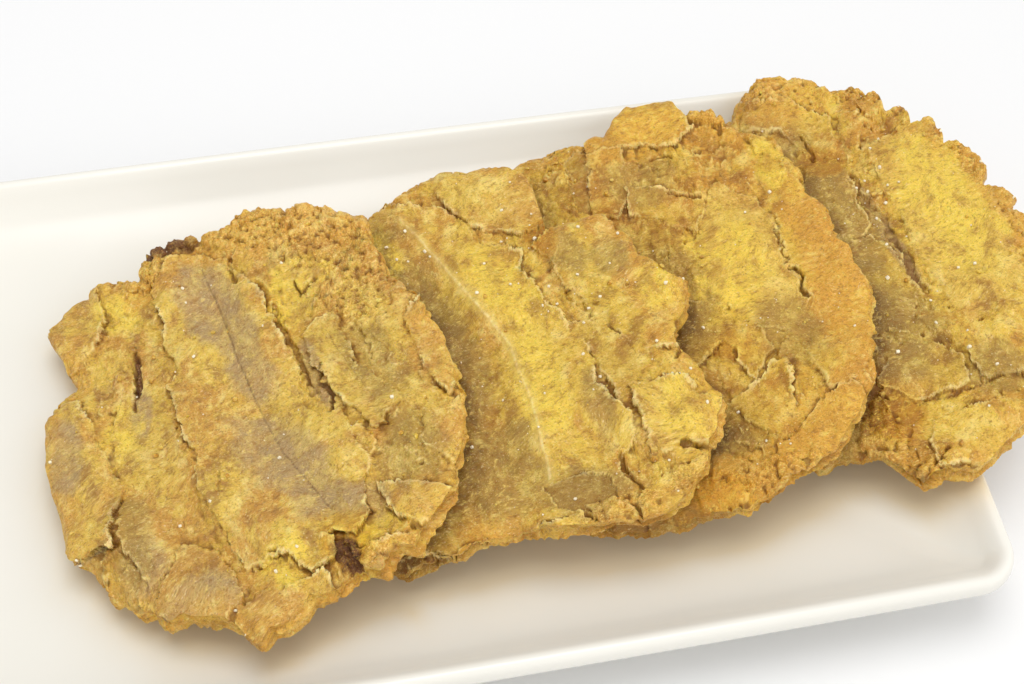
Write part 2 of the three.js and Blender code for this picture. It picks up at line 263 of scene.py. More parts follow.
# %% Noise and cells
def lattice(ix, iy, seed):
    """A fixed random number from 0 to 1 for each pair of whole numbers."""
    n = (ix * 374761393 + iy * 668265263 + seed * 974634777) & 0xFFFFFFFF
    n = ((n ^ (n >> 13)) * 1274126177) & 0xFFFFFFFF
    return ((n ^ (n >> 16)) & 0xFFFF) / 0xFFFF


def noise(x, y, size, seed):
    """Smooth noise from -1 to 1 whose blobs are `size` mm across."""
    x, y = x / size, y / size
    ix, iy = np.floor(x).astype(np.int64), np.floor(y).astype(np.int64)
    fx, fy = x - ix, y - iy
    fx, fy = (f * f * f * (f * (f * 6 - 15) + 10) for f in (fx, fy))
    near = lattice(ix, iy, seed) * (1 - fx) + lattice(ix + 1, iy, seed) * fx
    far = lattice(ix, iy + 1, seed) * (1 - fx) + lattice(ix + 1, iy + 1, seed) * fx
    return 2 * (near * (1 - fy) + far * fy) - 1


def rough(x, y, size, seed, octaves=4, fade=0.55):
    """Noise of several sizes together, each half the one before and turned, from about -1 to 1."""
    total = weight = 0
    for octave in range(octaves):
        turn = 0.6 + 1.3 * octave
        xr = x * math.cos(turn) - y * math.sin(turn)
        yr = x * math.sin(turn) + y * math.cos(turn)
        total = total + noise(xr, yr, size / 2**octave, seed + 17 * octave) * fade**octave
        weight += fade ** (2 * octave)
    return total / math.sqrt(weight)


def cells(x, y, size, seed):
    """Distance to the nearest of points scattered `size` mm apart, as a share of `size`."""
    x, y = x / size, y / size
    ix, iy = np.floor(x).astype(np.int64), np.floor(y).astype(np.int64)
    nearest = np.full(x.shape, 9.0)
    for dx in (-1, 0, 1):
        for dy in (-1, 0, 1):
            cx, cy = ix + dx, iy + dy
            px, py = cx + lattice(cx, cy, seed), cy + lattice(cx, cy, seed + 7)
            nearest = np.minimum(nearest, (x - px) ** 2 + (y - py) ** 2)
    return np.sqrt(nearest)


probe = rough(np.linspace(0, 50, 200), np.zeros(200), 5, 1)
print("noise runs from", round(probe.min(), 2), "to", round(probe.max(), 2))

# %% Steps, lines and shapes
def smooth_step(start, end, value):
    """0 before start, 1 after end, and an S-shaped rise between them."""
    share = np.clip((value - start) / (end - start), 0, 1)
    return share * share * (3 - 2 * share)


def line_distance(x, y, line):
    """Distance in mm to a line through points."""
    nearest = np.full(x.shape, 1e9)
    for (ax, ay), (bx, by) in zip(line, line[1:]):
        dx, dy = bx - ax, by - ay
        along = np.clip(((x - ax) * dx + (y - ay) * dy) / (dx * dx + dy * dy), 0, 1)
        nearest = np.minimum(nearest, np.hypot(x - ax - along * dx, y - ay - along * dy))
    return nearest


def edge_distance(x, y, corners):
    """Distance in mm to the border of a shape with corners: above 0 inside it, below 0 outside."""
    inside = np.zeros(x.shape, bool)
    closed = corners + corners[:1]
    for (ax, ay), (bx, by) in zip(closed, closed[1:]):
        if ay != by:
            crosses = (ay > y) != (by > y)
            inside ^= crosses & (x < (bx - ax) * (y - ay) / (by - ay) + ax)
    return np.where(inside, 1, -1) * line_distance(x, y, closed)


probe = edge_distance(np.array([1.0]), np.array([2.0]), [(0, 0), (10, 0), (10, 10), (0, 10)])
print("a point 1 mm inside a square has a depth of", probe[0], "mm")

# %% Patches and blur
def patch_cover(x, y, patches, seed, ragged=0.3):
    """1 inside any of the patches and 0 outside, with ragged borders. A patch is (x, y, half its width, half
    its length, degrees that its far end leans to the left)."""
    wander = ragged * rough(x, y, 6, seed)
    cover = np.zeros(x.shape)
    for px, py, across, along, lean in patches:
        turn = math.radians(lean)
        u = ((x - px) * math.cos(turn) + (y - py) * math.sin(turn)) / across
        v = ((y - py) * math.cos(turn) - (x - px) * math.sin(turn)) / along
        cover = np.maximum(cover, smooth_step(1.25, 0.65, np.hypot(u, v) + wander))
    return cover


def blur(field, cells_wide):
    """A grid of values, smoothed over about this many cells each way."""
    reach = max(1, int(round(cells_wide * 2.5)))
    bell = np.exp(-0.5 * (np.arange(-reach, reach + 1) / cells_wide) ** 2)
    bell /= bell.sum()
    for axis in (0, 1):
        padded = np.pad(field, [(reach, reach) if a == axis else (0, 0) for a in (0, 1)], "edge")
        parts = (np.take(padded, range(i, i + field.shape[axis]), axis) * w for i, w in enumerate(bell))
        field = sum(parts)
    return field


probe = blur(np.eye(9), 1)
print("blur spreads a diagonal of ones to", round(probe[4, 4], 2), "in the middle")

# %% [markdown]
# ## The blank
# Pressing turns a chunk of plantain into a round cake, so each tostone starts from the same blank: a fine
# square grid that is pulled into a disc (the way that keeps its squares nearly even), with its edge extruded
# down and then back in below. In the blank a vertex only says where it belongs: x and y are a share of the
# way out to the edge, and minus z counts the extruded rings. The forming step then gives every vertex its
# real place.

# %% Grid, walls and underside
TOP_CELLS = 250
SIDE_RINGS, UNDER_RINGS = 14, 12


def blank_mesh():
    """The blank as a closed mesh: the disc's grid first, then the rings, and the middle of the underside
    last."""
    bm = bmesh.new()
    bmesh.ops.create_grid(bm, x_segments=TOP_CELLS, y_segments=TOP_CELLS, size=1)
    for vert in bm.verts:
        a, b = vert.co.x, vert.co.y
        if a == 0 and b == 0:
            continue
        if abs(a) > abs(b):
            reach, turn = a, math.pi / 4 * b / a
        else:
            reach, turn = b, math.pi / 2 - math.pi / 4 * a / b
        vert.co.xy = reach * math.cos(turn), reach * math.sin(turn)
    edges = [edge for edge in bm.edges if edge.is_boundary]
    share = 1.0
    for ring in range(1, SIDE_RINGS + UNDER_RINGS + 1):
        made = bmesh.ops.extrude_edge_only(bm, edges=edges)["geom"]
        wanted = 1.0 if ring <= SIDE_RINGS else 1 - (ring - SIDE_RINGS) / (UNDER_RINGS + 1)
        for vert in made:
            if isinstance(vert, bmesh.types.BMVert):
                vert.co = Vector((vert.co.x * wanted / share, vert.co.y * wanted / share, -ring))
        edges = [edge for edge in made if isinstance(edge, bmesh.types.BMEdge) and edge.is_boundary]
        share = wanted
    last = bmesh.ops.edgeloop_fill(bm, edges=edges)["faces"]
    bmesh.ops.poke(bm, faces=last)
    bmesh.ops.recalc_face_normals(bm, faces=bm.faces)
    mesh = bpy.data.meshes.new("blank")
    bm.to_mesh(mesh)
    bm.free()
    return mesh


blank = blank_mesh()
blank_places = np.zeros(len(blank.vertices) * 3)
blank.vertices.foreach_get("co", blank_places)
blank_places = blank_places.reshape(-1, 3)
TOP_COUNT = (TOP_CELLS + 1) ** 2
SHARE_X, SHARE_Y, RING = blank_places[:, 0], blank_places[:, 1], -blank_places[:, 2]
TURN, SHARE = np.arctan2(SHARE_Y, SHARE_X), np.hypot(SHARE_X, SHARE_Y)
TOP, WALL, UNDER = slice(0, TOP_COUNT), (RING > 0) & (RING <= SIDE_RINGS), RING > SIDE_RINGS
print("blank:", len(blank.vertices), "vertices, of which the top has", TOP_COUNT)

# %% [markdown]
# ## What each tostone is like
# A pressed disc splits along the fruit, so it is a set of broad slabs of smooth skin with torn, layered
# ground between them. Its middle shows the fruit's vein, and fine fibres run out from it to both sides.
# Where it fried longest it is an orange, knobbly crust. Chance alone would put these things anywhere, so
# each disc has an entry that says where they are, in the disc's own millimetres, x to its lifted side and y
# away.
#
# - `centre`, `tilt_right`, `tilt_away`: where its middle lies in the scene, and the degrees that it leans.
# - `grain_lean`: the degrees that its fibres lean to the left.
# - `vein`: its line, how far it rises, its half width, and the swell round it. A side vein is a line of
#   colour.
# - `sheets`: lift over the ground, curl of the loose edges, tone from -1 for tan to 1 for yellow, and
#   corners. They lie one over the other in this order. A negative lift is a place where a sheet has come
#   off.
# - `splits`: half width, depth, and line.
# - `grey`, `olive`, `yellow`, `toast`, `crust`, `burnt` and the amber list: ellipses of that finish, as
#   `patch_cover` takes them. The amber ellipses are partly an amber tone and partly painted shade in low,
#   occluded places. `all_over` is the least that the whole top has of one.
# - `scallops`: size and depth of the bites in the rim. `clean_rim`: middle and radius of a stretch without
#   them.
# - `spurs`, `notches`: a place on the rim, how far it stands out or in, and its half width.

# %% The first disc: a grey slab, crust behind it, two burnt tips
DISCS = {}
DISCS["tostone_1"] = {
    "seed": 11, "centre": (3, -5, 19.3),
    "tilt_right": 11.3, "tilt_away": 0.4, "grain_lean": 19,
    "all_over": {"grey": 0.22},
    "vein": {"line": [(-7, 35), (-3, 20), (0, 6), (3, -5), (6, -14), (14, -29)],
        "rise": -0.15, "width": 0.4, "swell": -0.8, "side_vein": [(17, 11), (21, 1), (26, -11)]},
    "sheets": [
        (0.1, 0.2, -0.3, [(-26, 13), (-17, 14), (-15, 0), (-12, -14), (-14, -26), (-20, -36),
            (-26, -24), (-26, -6)]),
        (0.7, 0.55, -0.1, [(-18, 32), (-15, 21), (-14, 16), (-13, 9), (-15, 8), (-13, -2), (-10, -11),
            (-11, -18), (-6, -27), (-4, -34), (-2, -38), (5, -36), (10, -41), (13, -40), (13, -34),
            (18, -35), (21, -31), (21, -22), (22, -20), (20, -15), (18, -9), (15, -10), (11, -5),
            (11, 4), (9, 8), (8, 12), (6, 22), (2, 29), (-1, 34), (-7, 39), (-14, 40)]),
        (0.6, 0.6, 0.0, [(-42, 8), (-32, 9), (-29, -2), (-27, -10), (-25, -13), (-27, -18), (-27, -26),
            (-36, -27), (-44, -15)]),
        (0.3, 0.7, 0.1, [(-43, 27), (-29, 37), (-27, 27), (-33, 18), (-40, 18)]),
        (0.6, 0.7, -0.25, [(12, 10), (15, 14), (20, 13), (23, 1), (30, -10), (25, -15), (19, -8),
            (17, -2)]),
        (0.4, 0.8, -0.3, [(37, 14), (42, 4), (45, -6), (39, -10), (34, -2), (33, 8)]),
        (0.3, 0.6, -0.3, [(33, -12), (42, -11), (43, -21), (38, -26), (32, -19)]),
        (0.3, 0.7, -0.2, [(23, -26), (38, -31), (30, -37), (25, -34)]),
        (0.6, 0.8, -0.45, [(-15, -29), (-20, -40), (-8, -53), (-3, -42), (-8, -31)]),
        (0.4, 0.5, -0.4, [(-4, -43), (12, -41), (13, -48), (-2, -57), (-6, -50)]),
        (0.3, 0.4, 0, [(16, -37), (31, -39), (32, -46), (23, -48)]),
        (-1.6, 0.3, -0.6, [(-38, -27), (-28, -26), (-30, -34), (-38, -34)]),
    ],
    "splits": [
        (0.7, 0.9, [(-1, 36), (-1, 32), (0, 29)]),
        (0.7, 0.7, [(7, 21), (9, 12), (12, 4), (13, -3)]),
        (0.6, 1.0, [(16, 3), (15, -1), (17, -4), (16, -9)]),
        (0.5, 0.9, [(12, 25), (13, 22), (16, 24)]),
        (0.25, 0.4, [(-6, -16), (-6, -20)]),
        (0.5, 0.7, [(-5, -44), (-6, -47)]),
        (0.4, 0.9, [(2, -35), (3.5, -35)]),
        (0.35, 0.6, [(-22, 20), (-22, 11), (-22, 4)]),
    ],
    "grey": [(-5, 24, 6, 14, 16), (1, 8, 5, 16, 14), (7, -17, 7, 15, 32), (-22, -30, 5, 8, 0),
        (20, -30, 5, 5, 0), (-36, -4, 4, 10, 0), (-12, -42, 8, 6, 0), (24, -44, 6, 4, 0),
        (14, 2, 2, 10, 12), (-21, 4, 2, 6, 0)],
    "olive": [(-24, -24, 4, 10, 0), (25, 3, 5, 12, 20), (30, -20, 6, 8, 0)],
    "yellow": [(-25, 0, 4, 7, 5), (-25, 30, 5, 5, 0), (6, -38, 6, 5, 0), (16, 26, 5, 5, 0),
        (24, -36, 6, 4, 0), (10, 20, 4, 8, 15)],
    "toast": [(6, 41, 18, 8, 0), (26, 34, 7, 6, 0), (-20, 34, 4, 6, 0), (12, -50, 8, 3, 0),
        (28, -40, 10, 4, 0)],
    "crust": [(5, 41, 13, 7, 0), (20, 34, 10, 9, 0), (24, 20, 8, 8, 0), (-20, 38, 6, 5, 0),
        (20, -40, 7, 3, 0)],
    "burnt": [(-14, 43, 7, 2.4, 0), (16, -38, 2.4, 3.6, 10), (-21.5, 12, 0.9, 6, 0)],
    "amber": [(16, -36, 5, 6, 0)],
    "spurs": [(2.5, 50, 2.8, 1.5), (-9, 45, 0.8, 1.2)],
    "clean_rim": (-45, -10, 17),
    "scallops": (4.5, 1.3),
}
print("tostone_1 has", len(DISCS["tostone_1"]["sheets"]), "sheets")

# %% The second disc: a pale vein, and a flap lifted beside it
DISCS["tostone_2"] = {
    "seed": 23, "centre": (47, -3, 20.3),
    "tilt_right": 11.6, "tilt_away": 0.8, "grain_lean": 12,
    "all_over": {"olive": 0.15, "amber": 0.1},
    "vein": {"line": [(-9, 38), (-5, 30), (1, 16), (5, 7), (8, -1), (10, -17), (10, -32)],
        "rise": 0.18, "width": 0.5, "swell": 0.6},
    "sheets": [
        (0.2, 0.3, -0.5, [(26, 0), (33, -10), (30, -16), (28, -30), (24, -24), (26, -18), (23, -8),
            (20, 2)]),
        (0.2, 0.4, 0.25, [(-28, 34), (-12, 44), (0, 39), (5, 30), (8, 25), (15, 23), (13, 18), (16, 13),
            (17, 8), (20, 3), (22, -4), (23, -14), (27, -22), (26, -28), (18, -38), (5, -41), (-9, -41),
            (-24, -38), (-36, -20), (-38, 10)]),
        (0.3, 0.35, 0.5, [(-4, 50), (8, 50), (26, 37), (24, 31), (21, 30), (19, 27), (15, 26), (5, 32),
            (0, 40)]),
        (-0.9, 0.3, -0.9, [(8, -33), (14, -32), (20, -34), (22, -38), (16, -40), (10, -38)]),
        (-0.7, 0.2, -0.7, [(24, 33), (21, 30), (18, 26), (17, 23), (22, 24), (26, 30)]),
        (0.2, 0.3, 0.0, [(17, 23), (23, 26), (30, 28), (34, 25), (39, 12), (45, 2), (44, -5), (39, -10),
            (31, -10), (27, 3), (22, 9)]),
        (0.4, 0.7, 0.5, [(28, -16), (39, -17), (41, -23), (46, -25), (45, -31), (29, -32)]),
        (0.4, 0.8, 0.3, [(26, -38), (39, -34), (41, -39), (30, -49), (24, -45)]),
        (0.5, 1.2, 0.1, [(-14, -41), (-3, -40), (0, -44), (-1, -50), (-10, -50)]),
        (0.5, 1.2, 0.3, [(3, -44), (6, -41), (14, -40), (19, -43), (8, -49), (2, -49)]),
        (0.4, 0.9, 0, [(15, -38), (23, -39), (25, -45), (20, -49)]),
    ],
    "splits": [
        (0.6, 0.9, [(41, -5), (41, -9), (38, -12)]),
        (0.5, 0.8, [(23, -30), (24, -35), (26, -38)]),
        (0.7, 1.0, [(35, -31), (40, -32), (40, -34)]),
        (0.6, 1.1, [(24, -46), (29, -46), (34, -45)]),
    ],
    "olive": [(-7, 8, 7, 26, 13), (2, -28, 9, 12, 0), (22, -20, 3, 10, 0), (23, 18, 4, 8, 20),
        (15, -36, 9, 5, 0), (31, 14, 4, 6, 0)],
    "yellow": [(8, 16, 6, 14, 12), (12, -10, 5, 16, 5), (-16, 30, 5, 9, 20), (38, -24, 6, 8, 0),
        (40, 6, 5, 8, 0)],
    "toast": [(43, -6, 3, 3, 0), (36, -44, 6, 3, 0), (8, -45, 16, 3, 0)],
    "crust": [(20, -41, 8, 3, 0), (36, -38, 5, 4, 0)],
    "amber": [(-12, 6, 5, 24, 12), (-2, -43, 10, 3, 0), (19, 24, 3, 5, 20)],
    "scallops": (5, 0.9),
}
print("tostone_2 has", len(DISCS["tostone_2"]["sheets"]), "sheets")

# %% The third disc: yellow flesh with a toasted rim
DISCS["tostone_3"] = {
    "seed": 37, "centre": (84, 2, 20.0),
    "tilt_right": 11.8, "tilt_away": 1.0, "grain_lean": 4,
    "all_over": {"amber": 0.35},
    "vein": {"line": [(12, 48), (15, 30), (16, 10), (14, -12)],
        "rise": 0, "width": 0.6, "swell": 0},
    "sheets": [
        (0.1, 0.15, 0.85, [(14, 18), (20, 28), (28, 22), (29, 7), (31, -6), (26, -14), (18, -8),
            (12, 2)]),
        (0.1, 0.12, -0.1, [(33, 35), (38, 20), (43, 0), (41, -19), (34, -30), (29, -18), (31, -6),
            (30, 2), (29, 12), (30, 26)]),
        (0.3, 0.35, 0.2, [(-5, 44), (5, 58), (18, 54), (20, 44), (16, 40), (4, 43)]),
        (0.2, 0.25, -0.5, [(-4, 45), (4, 43), (3, 31), (0, 25), (-6, 28)]),
        (0.25, 0.4, -0.4, [(2, 33), (17, 26), (15, 16), (8, 20), (2, 25)]),
        (0.3, 0.35, -0.6, [(3, -1), (13, -1), (15, -9), (9, -13), (3, -16)]),
        (0.2, 0.25, -0.4, [(16, -8), (21, -10), (20, -16), (16, -22), (13, -17)]),
        (0.45, 0.6, -0.1, [(8, -26), (15, -23), (23, -18), (22, -27), (18, -36), (12, -31)]),
        (0.3, 0.5, 0.2, [(27, -17), (34, -19), (34, -27), (29, -28)]),
        (0.4, 0.45, 0.2, [(16, -37), (21, -35), (25, -30), (33, -27), (38, -34), (28, -46), (17, -47)]),
        (-0.8, 0.2, -0.6, [(-6, 47), (-3, 46), (-5, 36), (-6, 28), (-9, 30), (-9, 44)]),
    ],
    "splits": [
        (0.3, 0.6, [(29, 12), (29, 7)]),
        (0.45, 1.1, [(30, 1), (31, -1), (30, -4), (31, -6)]),
        (0.3, 0.6, [(9, 39), (12, 39), (14, 37)]),
        (0.4, 0.7, [(11, 28), (14, 26), (17, 25)]),
    ],
    "olive": [(6, 34, 7, 8, 0), (26, -12, 6, 9, 0), (8, 4, 5, 12, 0), (6, -36, 8, 8, 0)],
    "yellow": [(18, 6, 8, 14, 0), (12, 48, 8, 5, 0), (34, 26, 4, 10, 15)],
    "toast": [(37, -2, 6, 28, 0), (30, -34, 10, 8, 20), (8, -42, 20, 6, 0), (26, 44, 10, 5, -30),
        (6, 46, 14, 7, 0)],
    "crust": [(26, 44, 9, 4, -30), (14, -42, 12, 3, 0)],
    "amber": [(13, -13, 5, 4, 0), (2, -44, 9, 5, 0), (-1, -28, 6, 10, 0), (-4, 10, 5, 20, 0)],
    "scallops": (4.5, 1.5),
}
print("tostone_3 has", len(DISCS["tostone_3"]["sheets"]), "sheets")

# %% The fourth disc: a long gap beside olive slabs, and a notched crust
DISCS["tostone_4"] = {
    "seed": 41, "centre": (124, 8, 20.5),
    "tilt_right": 12.0, "tilt_away": 1.0, "grain_lean": 12,
    "all_over": {"amber": 0.15},
    "vein": {"line": [(2, 40), (8, 24), (12, 8), (13, -6), (14, -13)],
        "rise": 0, "width": 0.6, "swell": 0},
    "sheets": [
        (0.1, 0.1, 0.6, [(15, 26), (27, 30), (36, 10), (34, -18), (20, -24), (17, -6), (15, 8)]),
        (0.3, 0.45, -0.4, [(3, 26), (8, 27), (10, 20), (9, 12), (11, 8), (8, 4), (1, 6), (-2, 14)]),
        (0.25, 0.4, -0.4, [(2, 3), (10, 4), (13, -4), (14, -13), (9, -22), (0, -16)]),
        (0.25, 0.35, -0.4, [(-9, 40), (-6, 47), (4, 46), (10, 38), (10, 30), (6, 26), (2, 31),
            (-1, 37)]),
        (0.3, 0.4, 0.1, [(11, 29), (12, 37), (17, 37), (15, 30), (13, 27)]),
        (0.2, 0.25, -0.4, [(4, -24), (14, -25), (17, -31), (16, -35), (5, -37), (-1, -31)]),
        (0.25, 0.35, 0, [(17, -24), (27, -26), (32, -36), (19, -36)]),
        (0.35, 0.5, 0.3, [(6, -42), (20, -40), (26, -47), (14, -54), (4, -51)]),
    ],
    "splits": [
        (0.9, 0.7, [(10, 20), (11, 11), (13, 7), (13, 2), (14, -4), (14, -9), (15, -13)]),
        (0.3, 0.6, [(3, 35), (4, 31), (4, 27)]),
        (0.3, 0.4, [(5, -38), (12, -37), (23, -36)]),
        (0.3, 0.7, [(-1, -34), (0, -35)]),
        (0.4, 0.8, [(0, -53), (4, -51), (7, -49)]),
    ],
    "grey": [(13, 0, 1.6, 14, 8)],
    "olive": [(4, 16, 7, 22, 10), (6, -20, 9, 12, 0), (22, -34, 6, 6, 0)],
    "yellow": [(26, 8, 9, 22, 5), (10, 44, 6, 6, 0)],
    "toast": [(-4, 52, 8, 5, 0), (0, -51, 8, 4, 0), (4, 44, 8, 7, 0), (36, 6, 3, 24, 8)],
    "crust": [(20, 43, 14, 5, -35), (36, 16, 5, 20, 15), (0, -51, 7, 3, 0), (-2, 50, 8, 5, 0),
        (-4, -41, 4, 7, 0)],
    "amber": [(5, 26, 5, 5, 0), (0, -38, 6, 8, 0), (-4, 0, 5, 20, 0)],
    "notches": [(12.8, 44.2, 3.2, 5), (24.3, 37.9, 3.4, 4), (27.8, 31, 3.8, 5), (31.6, 21.9, 4.0, 5),
        (34, 8.5, 4.0, 6), (38.5, 1, 3.0, 4)],
    "scallops": (4.5, 1.2),
}
print("tostone_4 has", len(DISCS["tostone_4"]["sheets"]), "sheets")

# %% [markdown]
# ## Measuring the solid
# The solid's large flakes, cracks and outline are already right, so the fine surface is hung on them. A
# merged copy of the solid is turned flat and measured two ways: the farthest reach of its outline in every
# direction, and, by rays cast straight down or up, the height of its top and of its underside.

# %% Placement, outline and ray casts
DIRECTIONS = 720  # in which the outline is measured
STEEPEST = 0.5  # mm that the outline may change from one of them to the next
RAY_START = 80  # mm above and below the disc


def placement(disc):
    """From a disc's own millimetres to the scene's millimetres."""
    lean = Matrix.Rotation(math.radians(disc["tilt_away"]), 4, "X")
    lift = Matrix.Rotation(-math.radians(disc["tilt_right"]), 4, "Y")
    return Matrix.Translation(disc["centre"]) @ lean @ lift


def solid_copy(node, to_space):
    """A merged copy of a solid as a bmesh, moved by a matrix from the scene's millimetres."""
    bm = bmesh.new()
    bm.from_mesh(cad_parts[node].data)
    bmesh.ops.transform(bm, matrix=to_space @ Matrix.Scale(1 / MM, 4), verts=bm.verts)
    bmesh.ops.remove_doubles(bm, verts=bm.verts, dist=0.001)
    return bm


def outline_reach(bm, directions):
    """How far the solid reaches from its middle in each of the evenly spaced directions."""
    ends = np.array([[vert.co.xy[:] for vert in edge.verts] for edge in bm.edges])
    start, run = ends[:, 0], ends[:, 1] - ends[:, 0]
    reach = []
    for turn in np.arange(directions) * 2 * math.pi / directions:
        way = np.array([math.cos(turn), math.sin(turn)])
        slope = run[:, 0] * way[1] - run[:, 1] * way[0]
        slope[np.abs(slope) < 1e-9] = 1e-9
        along = -(start[:, 0] * way[1] - start[:, 1] * way[0]) / slope
        there = ((start + run * along[:, None]) @ way)[(along >= 0) & (along <= 1)]
        reach.append(there.max())
    return np.array(reach)


def ease_notches(reach, steepest, rounds=60):
    """The outline with its sudden steps made slopes of at most this many mm from one direction to the
    next."""
    eased = reach.copy()
    for _ in range(rounds):
        for neighbour in (np.roll(eased, 1), np.roll(eased, -1)):
            eased = np.minimum(eased, neighbour + steepest)
    return eased


def cast(tree, x, y, from_above):
    """Height where a plumb line through each point first meets the solid, or nan."""
    start_z, way = (RAY_START, Vector((0, 0, -1))) if from_above else (-RAY_START, Vector((0, 0, 1)))
    heights = []
    for px, py in zip(x.ravel(), y.ravel()):
        hit = tree.ray_cast(Vector((px, py, start_z)), way)[0]
        heights.append(math.nan if hit is None else hit.z)
    return np.array(heights).reshape(x.shape)


for name, disc in DISCS.items():
    solid = solid_copy(name, placement(disc).inverted())
    disc["tree"] = BVHTree.FromBMesh(solid)
    disc["reach"] = ease_notches(outline_reach(solid, DIRECTIONS), STEEPEST)
    solid.free()
    print(name, "reaches", round(disc["reach"].min()), "to", round(disc["reach"].max()), "mm")

# %% [markdown]
# ## Layers and small flakes
# The height of the top is the sum of what frying and pressing leave behind. Noise cut into terraces gives
# the thin layers on the rough ground, and hundreds of small flakes lie over it, each with one side dipping
# in and the other standing clear. They could be separate meshes, but one height per vertex keeps the skin
# closed and light.

# %% Thin layers and small flakes
LAYER_STEP = 0.34  # thickness of one thin layer, mm
FLAKE_SIZES = [  # how many, half length in mm, and rise in mm
    (70, (3.5, 8.0), 1.0),
    (220, (1.3, 3.5), 0.7),
    (500, (0.7, 1.5), 0.45),
]
FLAKE_FIELD = (45, 56)  # half the width and length that the flakes are strewn over, mm


def terraces(value, rise_share=0.16):
    """Whole-number steps with steep fronts."""
    whole = np.floor(value)
    return whole + smooth_step(1 - rise_share, 1, value - whole)


def lay_flakes(disc, x, y, ground, torn, grain_turn):
    """Small sheets over the torn ground, each with one side dipping into it and the other standing clear.
    Returns the new height and each point's own tone, from -1 for tan to 1 for yellow."""
    draw = np.random.default_rng(disc["seed"])
    height, tone = ground.copy(), np.zeros(x.shape)
    wobble = 0.5 * rough(x, y, 2.2, disc["seed"], 4, 0.65)
    half_x, half_y = FLAKE_FIELD
    for count, (long_low, long_high), rise_high in FLAKE_SIZES:
        level = blur(height, 3)
        for _ in range(count):
            px, py = draw.uniform(-half_x, half_x), draw.uniform(-half_y, half_y)
            long = draw.uniform(long_low, long_high)
            wide = long * draw.uniform(0.35, 0.8)
            turn = grain_turn + draw.normal(0, 0.4)
            rise, lifted = draw.uniform(0.4, 1) * rise_high, draw.uniform(0, 2 * math.pi)
            tint, luck = draw.uniform(-1, 1), draw.random()
            near = np.nonzero(np.hypot(x - px, y - py) < 1.3 * long)
            if len(near[0]) == 0 or torn[near].mean() < luck:
                continue
            dx, dy = x[near] - px, y[near] - py
            u = (dx * math.cos(turn) + dy * math.sin(turn)) / wide
            v = (dy * math.cos(turn) - dx * math.sin(turn)) / long
            sheet = level[near] + rise * (0.1 + 0.7 * (u * math.cos(lifted) + v * math.sin(lifted)))
            covers = (u * u + v * v + wobble[near] < 1) & (sheet > height[near])
            spot = (near[0][covers], near[1][covers])
            height[spot] = sheet[covers]
            tone[spot] = tint
    return height, tone


print("one layer is", LAYER_STEP, "mm thick, and a disc has", sum(size[0] for size in FLAKE_SIZES), "flakes")

# %% [markdown]
# ## Broad sheets with curled edges
# Pressing splits a disc into broad sheets that lie one over the other. A sheet is a polygon whose border is
# made ragged by noise, and the distance to that border does the rest: it raises the sheet, curls its edge up
# where it has come loose, and tears the ground beside it. The same distance tells the material where to draw
# the pale, dry lip, and where to paint shade into the gap beside it.

# %% Lay the broad sheets
BORDER = 1.5  # how far to each side of a sheet's border the colours know of it, mm
CURL_WIDTH = 2.2  # mm over which a curl dies away inwards
GAP_WIDTH = 0.8  # mm over which the tear beside a sheet dies away outwards
SHADE_WIDTH = 2  # mm over which the shade beside a raised sheet dies away


def sheet_depths(x, y, sheets, seed):
    """The sheets with every point's depth inside their ragged borders in place of their corners."""
    teeth_x, teeth_y = (rough(x, y, 5.5, seed + way, 5, 0.66) for way in (2, 52))
    return [(lift, curl, tone, edge_distance(x + teeth_x, y + teeth_y, corners))
            for lift, curl, tone, corners in sheets]


def lay_sheets(x, y, ground, tone, sheets, seed):
    """The broad sheets, one over the other. Each lies on the softened ground, with its edge curled up where
    it has come loose, and the ground just outside a loose edge is torn away; a sheet with a negative lift is
    a place where the top has come off. A sheet brings its own tone. Also returns the tone, the shade beside
    raised sheets, where the torn places are, the distance to the nearest border, and how loose that border
    is."""
    height, torn_away, border_loose, shade = ground, *(np.zeros(x.shape) for _ in range(3))
    border = np.full(x.shape, BORDER)
    loose = smooth_step(-0.4, 0.7, rough(x, y, 8, seed + 14, 2))
    for lift, curl, own_tone, depth in sheets:
        inside = depth > 0
        free = loose * min(1, curl / 0.4)
        curled = curl * (0.2 + 0.8 * loose) * np.exp(-np.maximum(depth, 0) / CURL_WIDTH)
        sheet = blur(height, 4) + (lift * (0.6 + 0.4 * loose) + curled)
        torn = free * np.exp(np.minimum(depth, 0) / GAP_WIDTH)
        height = np.where(inside, sheet, height - 0.4 * curl * torn)
        torn_away = np.where(inside, torn_away * (depth < 0.3), np.maximum(torn_away, torn))
        if lift < 0:
            torn_away = np.where(inside, 0.85, torn_away)
        tone = np.where(inside, own_tone, tone)
        lifted = min(1, (max(lift, 0) + curl) / 1.2) * (0.5 + 0.5 * loose)
        beside = lifted * np.exp(np.minimum(depth, 0) / SHADE_WIDTH)
        shade = np.where(inside, 0.3 * shade, np.maximum(shade, beside))
        nearer = inside | (np.abs(depth) < np.abs(border))
        border = np.where(nearer, depth.clip(-BORDER, BORDER), border)
        border_loose = np.where(nearer, free * smooth_step(BORDER, 0.5, np.abs(depth)), border_loose)
    return height, tone, shade, torn_away, border, border_loose


print("borders are known to", BORDER, "mm on each side")

# %% [markdown]
# ## The top in full
# The solid's top, read by rays through a small wobble, is the ground. Layers, flakes and sheets go on it,
# and then what is finer: creases and fibres, rounded cells for the knobs of the crust, splits that open and
# close along their length, pits where steam broke out, and the vein. Last, wherever the surface drops, the
# upper lip is pushed out over the lower one: that is a real undercut, and its shadow is what makes a flake
# look like a flake.

# %% The ground and its weights
PATCH_KINDS = ("grey", "yellow", "toast", "crust", "amber", "olive")


